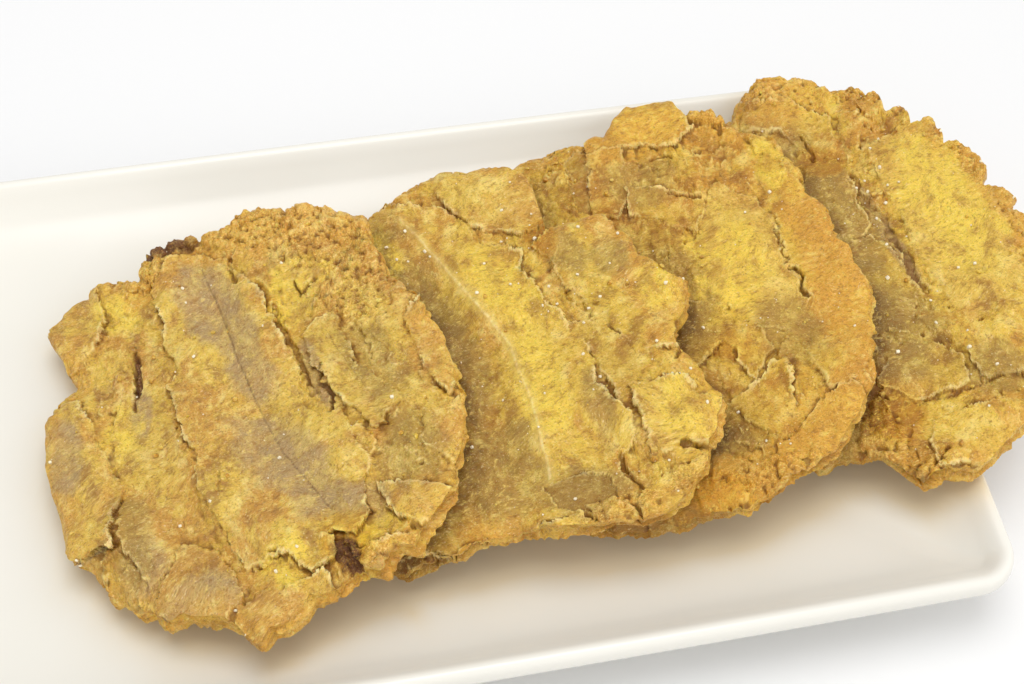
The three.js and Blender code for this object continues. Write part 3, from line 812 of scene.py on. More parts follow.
def colour_weights(disc, x, y, seed):
    """How much of each colour the disc's patches give to every point."""
    weights = {kind: patch_cover(x, y, disc.get(kind, []), seed + index * 31)
               for index, kind in enumerate(PATCH_KINDS)}
    weights["burnt"] = patch_cover(x, y, disc.get("burnt", []), seed + 5, ragged=0.45)
    for kind, least in disc["all_over"].items():
        weights[kind] = np.maximum(weights[kind], least)
    return weights


def ground_height(solid, at, inward):
    """The solid's top, read through a wobble that stops at the rim. Its flakes become soft swells, because
    the sheets give their borders."""
    calm = smooth_step(0, 3, inward)
    height = cast(solid, at.x + calm * at.wobble_x, at.y + calm * at.wobble_y, True)
    height = blur(np.where(np.isnan(height), np.nanmin(height), height), 0.6)
    return height + smooth_step(2, 5, inward) * (blur(height, 6) - height)


print("patches of", ", ".join(PATCH_KINDS), "and burnt")

# %% Creases and knobs
SWELL, LUMP, CREASE, GRAIN, FIBRE = 9, 3.2, 2.6, 0.9, 0.9  # mm across
KNOB_SIZES, CRUMB_SIZE = (2.6, 1.2), 1.5  # mm, in the crust
BURNT_LOSS = 0.6  # mm that a burnt tip has shrunk by


def add_creases(height, at, seed):
    """Adds swells and lumps of the flesh, sharp creases between them, and fibres to the heights, which it
    changes in place, as the next three do."""
    height += 0.35 * rough(at.across, at.along * 0.6, SWELL, seed + 8, 3)
    height += 0.16 * rough(at.x, at.y, LUMP, seed + 16, 3, 0.65)
    creases = 1 - 2 * np.abs(rough(at.across, at.along * 0.7, CREASE, seed + 9, 3))
    height += (0.07 + 0.07 * at.torn) * creases
    height += (0.05 + 0.04 * at.torn) * rough(at.x, at.y, GRAIN, seed + 10, 2)
    height += 0.05 * rough(at.across * 0.2, at.along, FIBRE, seed + 17, 2)


def add_knobs(height, at, weights, seed):
    """Adds knobs on the crust in two sizes, with crumbs between them. A burnt tip has shrunk instead."""
    big_knobs = 0.6 - cells(at.x + at.wobble_x, at.y + at.wobble_y, KNOB_SIZES[0], seed + 11)
    small_knobs = 0.55 - cells(at.x, at.y, KNOB_SIZES[1], seed + 12)
    crumbs = rough(at.x, at.y, CRUMB_SIZE, seed + 18, 3, 0.7)
    knobby = weights["crust"] * (1 - 0.95 * weights["burnt"])
    height += knobby * (0.8 * big_knobs + 0.5 * small_knobs + 0.5 * crumbs)
    height -= BURNT_LOSS * weights["burnt"] * (1 - crumbs)


print("swells of", SWELL, "mm, knobs of", *KNOB_SIZES, "mm")

# %% Splits, pits and vein
SPLIT_VARIES = 3  # mm over which a split opens and closes
PIT_SIZE, PIT_DEPTH, PIT_DRIFT = 2.1, 0.8, 9  # mm; pits keep to places 9 mm across
VEIN_SWELL, VEIN_STAIN = 5, 2  # half widths of the swell round a vein and of its colour, mm


def cut_splits(height, at, splits, seed):
    """Cuts the disc's splits, and the pits where steam broke out of its rough ground."""
    gape = (0.75 + 0.5 * rough(at.x, at.y, SPLIT_VARIES, seed + 19, 2)).clip(0.15, 1.5)
    for half_wide, depth, line in splits:
        away = line_distance(at.x + 0.5 * at.wobble_x, at.y + 0.5 * at.wobble_y, line)
        height -= depth * smooth_step(1.5, 0.7, away / (half_wide * gape))
    pits = smooth_step(0.75, 1.15, rough(at.across, at.along, PIT_SIZE, seed + 13, 2))
    height -= PIT_DEPTH * at.torn * pits * smooth_step(0.1, 0.5, rough(at.x, at.y, PIT_DRIFT, seed))


def raise_vein(height, at, vein, weights):
    """Makes the vein's ridge or groove in its broad swell, and the weights that colour it and its side
    vein."""
    x, y = at.x + 0.2 * at.wobble_x, at.y + 0.2 * at.wobble_y
    from_vein = line_distance(x, y, vein["line"])
    height += vein["rise"] * np.exp(-((from_vein / vein["width"]) ** 2))
    height += vein["swell"] * np.exp(-((from_vein / VEIN_SWELL) ** 2))
    stain = np.clip(1 - from_vein / VEIN_STAIN, 0, 1)
    weights["dark_vein"] = stain * (vein["rise"] < 0)
    weights["pale_vein"] = stain * (vein["rise"] > 0)
    if "side_vein" in vein:
        side_stain = 0.95 - line_distance(x, y, vein["side_vein"]) / VEIN_STAIN
        weights["dark_vein"] = np.maximum(weights["dark_vein"], side_stain)


print("pits up to", PIT_DEPTH, "mm deep")

# %% The whole top
LIP_REACH = 0.4  # how far a lip stands out over its drop, mm


def form_top(disc, x, y, inward):
    """Heights over the grid, and the weights that the colours follow. `inward` is each point's distance from
    the disc's edge."""
    seed = disc["seed"] * 100
    turn = math.radians(disc["grain_lean"])
    at = SimpleNamespace(x=x, y=y)
    at.across = x * math.cos(turn) + y * math.sin(turn)
    at.along = y * math.cos(turn) - x * math.sin(turn)
    at.wobble_x, at.wobble_y = (
        0.9 * rough(x, y, 4.5, seed + way, 2) + 0.4 * rough(x, y, 1.2, seed + 2 + way, 3) for way in (1, 51))
    weights = colour_weights(disc, x, y, seed)
    sheets = sheet_depths(x, y, disc["sheets"], seed)
    lying = [smooth_step(-0.5, 1, depth) for lift, curl, tone, depth in sheets if lift > 0]
    at.torn = (1 - 0.9 * np.max(lying, 0)) * (1 - 0.35 * weights["crust"])

    height = ground_height(disc["tree"], at, inward)
    height += LAYER_STEP * at.torn * terraces(1.3 * rough(at.across, at.along * 0.4, 7, seed + 6, 4, 0.6))
    height, tone = lay_flakes(disc, x, y, height, at.torn, turn)
    height, tone, shade, torn_away, border, loose = lay_sheets(x, y, height, tone, sheets, seed)
    # Painted shade: the shade beside raised sheets is laid into the amber colour weight.
    weights["tone"], weights["amber"] = tone, np.maximum(weights["amber"], 0.6 * shade)
    weights["border"], weights["loose"] = 0.5 + 0.5 * border / BORDER, loose
    height += 0.7 * loose * (0.5 - cells(x, y, 1.1, seed + 20))  # a loose border is crumbly
    height += 0.25 * loose * rough(x, y, 1.6, seed + 21, 2)

    add_creases(height, at, seed)
    add_knobs(height, at, weights, seed)
    cut_splits(height, at, disc["splits"], seed)
    raise_vein(height, at, disc["vein"], weights)

    height += 0.3 * np.clip(height - blur(height, 2), -0.6, 0.3)  # crisper drops
    patchy = smooth_step(-0.5, 0.7, rough(x, y, 3, seed + 15, 3))
    proud = np.clip((height - blur(height, 1.3)) / 0.16 - 0.4, 0, 1)
    weights["lip"] = patchy * (1 - 0.5 * weights["crust"]) * proud
    # Painted shade: points lower than their surroundings, and torn places, are darkened as hollows.
    sunken = np.clip((blur(height, 2.5) - height) / 0.45 - 0.15, 0, 1)
    weights["hollow_shade"] = np.maximum(sunken, 0.55 * torn_away)
    return height, weights


def push_lips(x, y, height):
    """Moves the upper side of each drop outwards and the lower side in under it."""
    dx_i, dx_j = np.gradient(x)
    dy_i, dy_j = np.gradient(y)
    dh_i, dh_j = np.gradient(blur(height, 1.8))
    area = dx_i * dy_j - dx_j * dy_i
    area = np.where(np.abs(area) < 1e-6, 1e-6, area)
    slope_x = (dh_i * dy_j - dh_j * dy_i) / area
    slope_y = (dh_j * dx_i - dh_i * dx_j) / area
    steep = np.hypot(slope_x, slope_y) + 1e-6
    side = np.clip((height - blur(height, 2.5)) / 0.35, -1, 1)
    move = LIP_REACH * side * smooth_step(0.35, 1.1, steep)
    return x - move * slope_x / steep, y - move * slope_y / steep


print("a lip stands out by up to", LIP_REACH, "mm")

# %% [markdown]
# ## Forming a tostone
# The blank's vertices now get their places. The top goes out to the torn outline; the wall falls to the
# underside with layers showing in it, as pressed plantain splits in sheets; the underside follows the solid.
# Where a neighbour lies on top, the disc is kept down: a ray cast up from each point finds the underside of
# the neighbour's solid, and the point keeps a small gap to that. The neighbour's finished underside is less
# even than its solid, so the two may still press into each other in small hidden spots, by under 0.2 mm. The
# weights go on the vertices as attributes, for the material to read.

# %% The torn outline
ROUND_RADIUS, TIP_RADIUS = 42, 45  # a disc's usual radius, and that of its tips, mm
RIM_CUT, RIM_CUT_RANGE = 0.4, (-0.9, 3.4)  # mm that the torn rim lies inside the solid's, and its limits


def reach_at(disc, turn):
    """How far a disc reaches in these directions."""
    steps = np.arange(DIRECTIONS + 1) * 2 * math.pi / DIRECTIONS
    return np.interp(turn % (2 * math.pi), steps, np.append(disc["reach"], disc["reach"][0]))


def closeness(disc, places, fade):
    """How near places in the scene are to a disc seen from above: 1 on it, fading over `fade` mm outside."""
    back = np.array(placement(disc).inverted())
    seen = places @ back[:3, :3].T + back[:3, 3]
    gap = np.hypot(seen[:, 0], seen[:, 1]) - reach_at(disc, np.arctan2(seen[:, 1], seen[:, 0]))
    return np.exp(-np.maximum(gap, 0) / fade)


def wedge(x, y, half_wide):
    """1 in the direction of a point on the rim, falling to 0 at this many mm to each side of it."""
    off = (TURN - math.atan2(y, x) + math.pi) % (2 * math.pi) - math.pi
    return np.clip(1 - np.abs(off) * TIP_RADIUS / half_wide, 0, 1)


def torn_reach(disc, rim_x, rim_y, seed):
    """How far each of the blank's vertices could reach once the rim has torn: bites where it is ragged, a
    whole edge where a slab of skin runs out to it, and the disc's own spurs and notches."""
    reach = reach_at(disc, TURN)
    bite_size, bite_deep = disc["scallops"]
    bites = bite_deep * (2.4 * cells(rim_x, rim_y, bite_size, seed + 1) ** 2 - 0.5)
    ragged = smooth_step(-0.6, 0.6, rough(rim_x, rim_y, 16, seed + 13, 2))  # clean here, torn there
    tear = bites * (0.15 + 0.85 * ragged) + (0.1 + 0.6 * ragged) * rough(rim_x, rim_y, 4, seed + 2, 3, 0.5)
    if "clean_rim" in disc:
        clean_x, clean_y, half_wide = disc["clean_rim"]
        away = np.hypot(SHARE_X * reach - clean_x, SHARE_Y * reach - clean_y)
        tear *= smooth_step(0.7 * half_wide, 1.1 * half_wide, away)
    reach = reach - np.clip(RIM_CUT + tear, *RIM_CUT_RANGE)
    for x, y, tall, half_wide in disc.get("spurs", []):
        reach += tall * wedge(x, y, half_wide)
    for x, y, deep, half_wide in disc.get("notches", []):
        reach -= deep * wedge(x, y, half_wide) ** 1.6
    return reach


print("a wedge of 5 mm covers", round(100 * float(np.mean(wedge(1, 0, 5) > 0)), 1), "% of the directions")

# %% Place the top, the wall and the underside
TOP_INSET, UNDER_INSET = 0.985, 0.915  # shares of the reach at the top's rim and for the underside
SHOULDER = 1.2  # mm that the rim is rounded off by
GROOVE_HEIGHT, GROOVE_WIDTH, GROOVE_DEPTH = 0.42, 0.13, 2.4  # shares of the wall's height, and mm
MOST_INSET = 2.6  # mm that layers and lumps may cut into the wall
FOOT_HEIGHT = -3.5  # where the wall ends if a ray misses the solid's underside, mm
UNDER_LIFT, UNDER_LUMPS = 0.25, 0.25  # mm over the solid's underside, and the usual height of its lumps


def place_top(disc, reach, x, y, z, seed):
    """Puts the top's vertices on the formed top, rounded off at the rim, and returns the weights."""
    grid = (TOP_CELLS + 1, TOP_CELLS + 1)
    top_x, top_y = (flat[TOP] * TOP_INSET for flat in (x, y))
    top_x, top_y = top_x.reshape(grid), top_y.reshape(grid)
    inward = ((1 - SHARE[TOP]) * reach[TOP]).reshape(grid)
    height, weights = form_top(disc, top_x, top_y, inward)
    shoulder = SHOULDER * (0.4 + 0.6 * rough(top_x, top_y, 5, seed + 3, 2)).clip(0, 1.2)
    height -= shoulder * smooth_step(1.8, 0, inward) ** 2
    moved_x, moved_y = push_lips(top_x, top_y, height)
    inside = smooth_step(0.2, 1.5, inward)
    x[TOP] = (top_x + (moved_x - top_x) * inside).ravel()
    y[TOP] = (top_y + (moved_y - top_y) * inside).ravel()
    z[TOP] = height.ravel()
    edge_toast = smooth_step(7, 1, inward) * (0.4 + 0.5 * rough(top_x, top_y, 9, seed + 8, 2)).clip(0, 1)
    weights["toast"] = np.maximum(weights["toast"], edge_toast)
    return weights


def place_wall(disc, reach, rim_x, rim_y, x, y, z, seed):
    """Puts the wall's vertices between the top's rim and the underside: hollowed, layered, and split by one
    deep groove that comes and goes. Returns the painted shade of the wall's hollows, and its tone."""
    edge = np.abs(SHARE[TOP] - 1) < 1e-6
    order = np.argsort(TURN[TOP][edge])
    edge_turn, edge_z, edge_reach = (values[TOP][edge][order] for values in (TURN, z, reach))
    low_x, low_y = (way(edge_turn) * edge_reach * 0.8 for way in (np.cos, np.sin))
    low_z = cast(disc["tree"], low_x, low_y, False)
    low_z = np.where(np.isnan(low_z), FOOT_HEIGHT, low_z)
    down = RING[WALL] / SIDE_RINGS
    middle = np.sin(math.pi * down)  # 0 at the wall's top and foot, 1 halfway down
    top_z, base_z = (np.interp(TURN[WALL], edge_turn, ends) for ends in (edge_z, low_z))
    around = TURN[WALL] * ROUND_RADIUS

    layers = 0.6 * terraces(1.6 * rough(around * 0.6, down * 24, 5, seed + 4, 3, 0.6), 0.3)
    lumps = rough(around, down * 9, 2.4, seed + 5, 4, 0.7)
    bulge = 0.015 * middle - 0.07 * smooth_step(0.6, 1, down)
    hollowed = np.clip(0.9 + 0.7 * rough(around, down * 7, 9, seed + 9, 2), 0, 1.6)
    groove_at = GROOVE_HEIGHT + 0.14 * rough(rim_x[WALL], rim_y[WALL], 12, seed + 11, 2)
    groove_deep = GROOVE_DEPTH * smooth_step(-0.3, 0.5, rough(rim_x[WALL], rim_y[WALL], 9, seed + 12, 2))
    groove = groove_deep * np.exp(-(((down - groove_at) / GROOVE_WIDTH) ** 2))
    inset = np.clip(hollowed + layers + 0.5 * lumps, -0.3, MOST_INSET) * middle**0.5
    wall_reach = reach[WALL] * (TOP_INSET + bulge) - groove - inset
    x[WALL], y[WALL] = np.cos(TURN[WALL]) * wall_reach, np.sin(TURN[WALL]) * wall_reach
    z[WALL] = top_z + (base_z - top_z) * down + 0.25 * lumps * middle

    # Painted shade: the wall is darkened where it is hollowed, layered or grooved.
    hollow_shade = np.clip((hollowed + layers + groove) / 2.5 - 0.3, 0, 1) * middle
    tone = np.clip(1.2 * rough(around, down * 20, 5, seed + 10, 3), -1, 1)
    return 0.7 * hollow_shade, tone


def place_underside(disc, x, y, z, seed):
    """Puts the underside's vertices a little above the solid's on the whole, with lumps that dip below it
    in places."""
    x[UNDER] *= UNDER_INSET
    y[UNDER] *= UNDER_INSET
    below = cast(disc["tree"], x[UNDER], y[UNDER], False)
    below = np.where(np.isnan(below), np.nanmin(below), below)
    z[UNDER] = below + UNDER_LIFT + UNDER_LUMPS * rough(x[UNDER], y[UNDER], 5, seed + 6, 3)


print("wall of", SIDE_RINGS, "rings, underside of", UNDER_RINGS)

# %% The finished mesh
NEIGHBOUR_GAP = 0.15  # to the solid of the disc on top, mm
UNDER_ALL = -5  # a height under every disc, mm
NOOK_FADE = 3.4  # mm over which the shade beside the disc on top dies away


def keep_below(above, places):
    """Lowers the points of the top and the wall that come too near to the solid of the disc over them."""
    for index in np.nonzero(RING <= SIDE_RINGS)[0]:
        px, py, pz = places[index]
        hit = above.ray_cast(Vector((px, py, UNDER_ALL)), Vector((0, 0, 1)))[0]
        if hit is not None:
            places[index, 2] = min(pz, hit.z - NEIGHBOUR_GAP)


def store(mesh, name, values):
    """Puts a number or a vector on every vertex, as an attribute that a material can read."""
    kind, slot = ("FLOAT", "value") if values.ndim == 1 else ("FLOAT_VECTOR", "vector")
    layer = mesh.attributes.new(name, kind, "POINT")
    layer.data.foreach_set(slot, values.astype(np.float32).ravel())


def form_disc(name, disc, above, over):
    """The finished mesh of a tostone. `above` is the solid of the disc that lies over it, and `over` its
    entry."""
    seed = disc["seed"] * 100 + 50
    rim_x, rim_y = np.cos(TURN) * ROUND_RADIUS, np.sin(TURN) * ROUND_RADIUS
    bend_x, bend_y = (2.5 * rough(rim_x, rim_y, 10, seed + way, 2) for way in (21, 22))
    rim_x, rim_y = rim_x + bend_x, rim_y + bend_y
    reach = torn_reach(disc, rim_x, rim_y, seed)
    x, y, z = SHARE_X * reach, SHARE_Y * reach, np.zeros(len(RING))
    weights = place_top(disc, reach, x, y, z, seed)
    wall_hollow_shade, wall_tone = place_wall(disc, reach, rim_x, rim_y, x, y, z, seed)
    place_underside(disc, x, y, z, seed)

    world = np.array(placement(disc))
    places = np.stack([x, y, z], 1) @ world[:3, :3].T + world[:3, 3]
    if above is not None:
        keep_below(above, places)
    mesh = blank.copy()
    mesh.name = name
    mesh.vertices.foreach_set("co", (places * MM).ravel())
    # Painted shade: how close the top lies beside the disc over it is stored, and the material darkens it
    # there.
    store(mesh, "nook_shade", np.zeros(len(RING)) if over is None else closeness(over, places, NOOK_FADE))
    for kind, weight in weights.items():
        values = np.zeros(len(RING))
        if kind == "toast":
            values = np.where(RING > 0, 0.75 + 0.25 * rough(x, y, 4, seed + 7, 2), 0)
        values[TOP] = weight.ravel()
        if kind == "hollow_shade":
            values[WALL] = wall_hollow_shade
        if kind == "tone":
            values[WALL] = wall_tone
        store(mesh, kind, values)

    lean = math.radians(disc["grain_lean"])
    bend_x, bend_y = (1.8 * rough(x, y, 11, seed + way, 2) for way in (13, 14))
    across = x * math.cos(lean) + y * math.sin(lean) + bend_x
    along = y * math.cos(lean) - x * math.sin(lean) + bend_y
    store(mesh, "grain", np.stack([across, along, z], 1))
    mesh.update()
    return mesh


print("a disc stays", NEIGHBOUR_GAP, "mm under the solid of the one on top of it")

# %% [markdown]
# ## Fried plantain
# Green plantain fries to a golden yellow where the starch is clean, a grey tan where the skin side shows,
# and orange brown where it stayed longest in the oil. The vertex weights say where each of these is; noise
# stretched along the fibres breaks them up, so no patch has a plain colour. The coats lie one over the
# other, as glazes do in a painting, so a list of them with one loop is the shortest way to write the skin
# down. Lips are thin and dry, so they look pale. Shade is painted in too: hollows, low places, the ground
# beside raised sheets and the nook beside the disc on top are darkened in the colour.

# %% Noise along the fibres
plantain, tree, output = new_material("twice-fried plantain")
FIBRE_NOISES = {  # blobs per mm across the vein, along it and down; detail; distortion
    "hairs": ((1.0, 2.6, 2), 3, 0.8),
    "strands": ((0.7, 1.0, 0.9), 5, 0.4),
    "blotch": ((0.22, 0.18, 0.25), 7, 0),
    "mottle": ((0.11, 0.08, 0.11), 4, 0),
    "grit": ((2.6, 3.2, 2.8), 4, 0),
    "teeth": ((1.6, 1.6, 1.6), 3, 0),
}
WEIGHTS = ("tone", "grey", "olive", "amber", "nook_shade", "yellow", "toast", "crust", "lip", "hollow_shade", "border",
           "loose", "dark_vein", "pale_vein", "burnt")

fibres = add(tree, "ShaderNodeAttribute", {"attribute_name": "grain"})
skin_sources = {}
for name, (scale, detail, distortion) in FIBRE_NOISES.items():
    stretch = add(tree, "ShaderNodeMapping", inputs={"Scale": scale},
                  links={"Vector": fibres.outputs["Vector"]})
    grain = add(tree, "ShaderNodeTexNoise",
                inputs={"Scale": 1, "Detail": detail, "Roughness": 0.66, "Distortion": distortion},
                links={"Vector": stretch.outputs["Vector"]})
    skin_sources[name] = grain.outputs["Fac"]
for name in WEIGHTS:
    skin_sources[name] = add(tree, "ShaderNodeAttribute", {"attribute_name": name}).outputs["Fac"]
shift = add(tree, "ShaderNodeMath", {"operation": "MULTIPLY_ADD"}, {1: 0.5, 2: -0.25},
            {0: skin_sources["teeth"]})
torn_edge = add(tree, "ShaderNodeMath", {"operation": "ADD"},
                links={0: skin_sources["border"], 1: shift.outputs["Value"]})
skin_sources["torn_edge"] = torn_edge.outputs["Value"]
print("the skin reads", len(skin_sources), "patterns")

# %% Coats of colour
# Each coat is its colour and what its cover is multiplied from. That is a pattern as it is, or with two
# values of it, between which the cover goes from one amount to another.
FLESH = "#d29a34"
FLESH_COATS = [
    ("#e6c146", [("mottle", 0.42, 0.58, 0, 1)]),
    ("#ab8038", [("tone", -0.1, -1, 0, 0.6)]),  # tan sheets
    ("#eaca66", [("tone", 0.1, 1, 0, 0.65)]),  # pale yellow sheets
    ("#975f12", [("blotch", 0.5, 0.66, 0, 0.75)]),
    ("#f8df80", [("blotch", 0.5, 0.34, 0, 0.75)]),
    ("#b49562", ["grey", ("blotch", 0.35, 0.62, 0.55, 1)]),
    ("#a98a40", ["olive", ("blotch", 0.3, 0.65, 0.4, 0.9)]),
    # Painted shade, partly: this amber coat is an amber tone, and it also darkens low, occluded places and
    # the ground beside raised sheets.
    ("#b9822a", ["amber", ("blotch", 0.35, 0.62, 0.4, 0.85)]),
    # Painted shade: a dark brown beside the disc that lies on top.
    ("#5f400c", ["nook_shade", ("blotch", 0.35, 0.62, 0.45, 0.85)]),
    ("#efcf4c", ["yellow", ("blotch", 0.6, 0.42, 0.25, 0.9)]),
    ("#dda63e", ["toast", ("strands", 0.35, 0.6, 0.3, 0.85)]),
]
FIBRE_COATS = [
    ("#95641c", [("strands", 0.52, 0.68, 0, 0.6)]),
    ("#f1d576", [("strands", 0.46, 0.32, 0, 0.55)]),
    ("#845512", [("hairs", 0.54, 0.68, 0, 0.36), ("blotch", 0.4, 0.6, 0.3, 1)]),
    ("#f8e6a8", [("hairs", 0.44, 0.32, 0, 0.3), ("blotch", 0.4, 0.6, 1, 0.4)]),
    ("#70490f", [("grit", 0.53, 0.7, 0, 0.6)]),
    ("#fff0c4", [("grit", 0.42, 0.28, 0, 0.55)]),
    ("#b9772f", ["crust", ("grit", 0.5, 0.66, 0, 0.42)]),
    ("#fbdc84", ["crust", ("grit", 0.48, 0.34, 0, 0.6)]),
]
EDGE_COATS = [
    ("#f3da8e", [("lip", 0.1, 1, 0, 0.65)]),
    # painted shade in hollows and recesses
    ("#784806", [("hollow_shade", 0.1, 1, 0, 0.7)]),
    # the dry lip of a loose border, and painted shade in the gap below it
    ("#f7e2a2", ["loose", ("torn_edge", 0.49, 0.54, 0, 1), ("torn_edge", 0.72, 0.56, 0, 0.7)]),
    ("#754a0e", ["loose", ("torn_edge", 0.5, 0.45, 0, 1), ("torn_edge", 0.2, 0.42, 0, 0.5)]),
]
WARM_TINT_COATS = [("#fff5b4", ["amber"])]  # multiplied: a warm tint over the amber tone and its painted shade
LAST_COATS = [
    ("#76542b", [("dark_vein", 0.84, 0.97, 0, 0.6), ("strands", 0.35, 0.55, 0.4, 1)]),
    ("#e6ca6e", [("pale_vein", 0.1, 0.9, 0, 0.4)]),
    ("#f4e2a4", [("pale_vein", 0.78, 0.95, 0, 0.5), ("strands", 0.6, 0.4, 0.2, 1)]),
    ("#63391e", ["burnt", ("grit", 0.3, 0.6, 0.5, 1)]),
]


def masked(tree, sources, masks):
    """The patterns that the masks name, each between its own amounts, multiplied together."""
    product = None
    for mask in masks:
        if isinstance(mask, str):
            part = sources[mask]
        else:
            name, start, end, at_start, at_end = mask
            part = add(tree, "ShaderNodeMapRange", {"interpolation_type": "SMOOTHSTEP"},
                       {"From Min": start, "From Max": end, "To Min": at_start, "To Max": at_end},
                       {"Value": sources[name]}).outputs["Result"]
        if product is not None:
            part = add(tree, "ShaderNodeMath", {"operation": "MULTIPLY"},
                       links={0: product, 1: part}).outputs["Value"]
        product = part
    return product


def lay_coats(tree, sources, below, coats, blend="MIX"):
    """A plain colour, or what is there already, with the coats laid over it in turn."""
    for hex_code, masks in coats:
        inputs, links = {"B": colour(hex_code)}, {"Factor": masked(tree, sources, masks)}
        if isinstance(below, str):
            inputs["A"] = colour(below)
        else:
            links["A"] = below
        below = add(tree, "ShaderNodeMix", {"data_type": "RGBA", "blend_type": blend}, inputs,
                    links).outputs["Result"]
    return below


print("coats:", sum(map(len, (FLESH_COATS, FIBRE_COATS, EDGE_COATS, WARM_TINT_COATS, LAST_COATS))))

# %% Twice-fried plantain
# Oil has an index of 1.46 and wets the fine grain unevenly, so the gloss comes and goes. Flesh lets a
# little light in, red farther than blue, which warms the thin edges.
LIGHT_REACH = 1 * MM
RELIEF_DEPTH = 0.3 * MM  # of the hairs and grit that are too fine for the mesh
GLOSS = ("grit", 0.35, 0.65, 0.3, 0.52)  # roughness 0.3 in the troughs of the grit and 0.52 on it

skin = lay_coats(tree, skin_sources, FLESH, FLESH_COATS + FIBRE_COATS + EDGE_COATS)
skin = lay_coats(tree, skin_sources, skin, WARM_TINT_COATS, "MULTIPLY")
skin = lay_coats(tree, skin_sources, skin, LAST_COATS)
relief = add(tree, "ShaderNodeMath", {"operation": "ADD"},
             links={0: skin_sources["hairs"], 1: skin_sources["grit"]})
bump = add(tree, "ShaderNodeBump", inputs={"Strength": 0.8, "Distance": RELIEF_DEPTH},
           links={"Height": relief.outputs["Value"]})
flesh = add(tree, "ShaderNodeBsdfPrincipled", inputs={
    "IOR": 1.46, "Subsurface Weight": 0.35, "Subsurface Radius": (1.0, 0.5, 0.12),
    "Subsurface Scale": LIGHT_REACH,
}, links={
    "Base Color": skin,
    "Roughness": masked(tree, skin_sources, [GLOSS]),
    "Normal": bump.outputs["Normal"],
})
tree.links.new(flesh.outputs["BSDF"], output.inputs["Surface"])
print("made", plantain.name)

# %% [markdown]
# ## Painted warm shade on the glaze
# Light that reaches the plate right beside fried food has passed through the food or bounced off it, so the
# porcelain there looks golden. That light is painted: a warm tint multiplied onto the glaze, fading out over
# a few millimetres from the discs' outlines. The platter's vertices carry how near the food is.

# %% Painted warm shade round the food
BOUNCE_FADE = 3  # mm over which the painted warm shade fades to a third
BOUNCE_TINT = "#fdf1da"
spots = np.array([vert.co[:] for vert in platter.data.vertices]) / MM
faces_up = smooth_step(0, 0.3, np.array([vert.normal.z for vert in platter.data.vertices]))
near_food = faces_up * np.max([closeness(disc, spots, BOUNCE_FADE) for disc in DISCS.values()], 0)
store(platter.data, "near_food", near_food)
glaze_tree = porcelain.node_tree
# Painted warm shade: the glaze's colour is multiplied by a warm tint where the food is near.
bounce_cover = add(glaze_tree, "ShaderNodeAttribute", {"attribute_name": "near_food"}).outputs["Fac"]
painted_bounce = lay_coats(glaze_tree, {"painted_bounce": bounce_cover}, tint.outputs["Result"], [(BOUNCE_TINT, ["painted_bounce"])],
                 "MULTIPLY")
glaze_tree.links.new(painted_bounce, glaze.inputs["Base Color"])
print("film over", round(100 * near_food.mean()), "% of the platter")

# %% [markdown]
# ## Laying the discs
# The discs lie like fallen dominoes, the first on top of them all, so they are formed in that order, each
# under the solid of the one before it. Only edges sharper than 65 degrees stay hard, which keeps torn
# borders crisp and the flesh soft.

# %% Lay the four discs
SHARP_TEAR = 65  # degrees
above = over = None
tostones = []
for name, disc in DISCS.items():
    piece = finish_piece(form_disc(name, disc, above, over), "pressed_" + name, plantain, SHARP_TEAR)
    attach(piece, "root")
    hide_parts(name)
    tostones.append(piece)
    upper = solid_copy(name, Matrix.Identity(4))
    above, over = BVHTree.FromBMesh(upper), disc
    upper.free()
    print(piece.name, "triangles:", 2 * len(piece.data.polygons))

# %% [markdown]
# ## Salt and crumbs
# Tostones are salted as they leave the oil, and the grains stick where they fall; small crumbs of the crust
# lie between them. Each grain is a little block with its corners cut off, and each crumb a lump from an
# icosphere with its vertices moved about. They go on vertices of the finished tops, turned at random, and
# are joined into one mesh for the salt and one for the crumbs.

# %% Salt crystals, and the shapes of a grain and a crumb
# Salt is clear and has an index of 1.54, so each grain is a small white glint.
salt, tree, output = new_material("salt crystals")
crystal = add(tree, "ShaderNodeBsdfPrincipled", inputs={
    "Base Color": colour("#efe3c4"), "Roughness": 0.3, "IOR": 1.54,
    "Subsurface Weight": 0.4, "Subsurface Scale": 0.0005, "Subsurface Radius": (1, 1, 1),
})
tree.links.new(crystal.outputs["BSDF"], output.inputs["Surface"])
draw = np.random.default_rng(5)


def salt_grain(bm, matrix):
    """A bevelled block, its longest side a little under the matrix's size."""
    block = bmesh.ops.create_cube(bm, size=0.8, matrix=matrix)["verts"]
    edges = {edge for vert in block for edge in vert.link_edges}
    bmesh.ops.bevel(bm, geom=list(edges), offset=0.12 * matrix.to_scale().x, affect="EDGES", segments=1,
                    profile=0.5, material=-1)


def crumb(bm, matrix):
    """A lump with its vertices moved about."""
    lump = bmesh.ops.create_icosphere(bm, subdivisions=1, radius=0.5, matrix=matrix)["verts"]
    middle = matrix.to_translation()
    for vert in lump:
        vert.co = middle + (vert.co - middle) * draw.uniform(0.65, 1.3)


print("made", salt.name)

# %% Scatter them over the tops
SALT_COUNTS = {"pressed_tostone_1": 40, "pressed_tostone_2": 160, "pressed_tostone_3": 90,
               "pressed_tostone_4": 110}
CRUMB_COUNT = 60  # on each disc
SALT_SIZES, CRUMB_SIZES = (0.2, 0.95), (0.4, 1.5)  # mm; small ones are the most common
DRIFT_SIZE = 14  # mm across a place with more or fewer of them


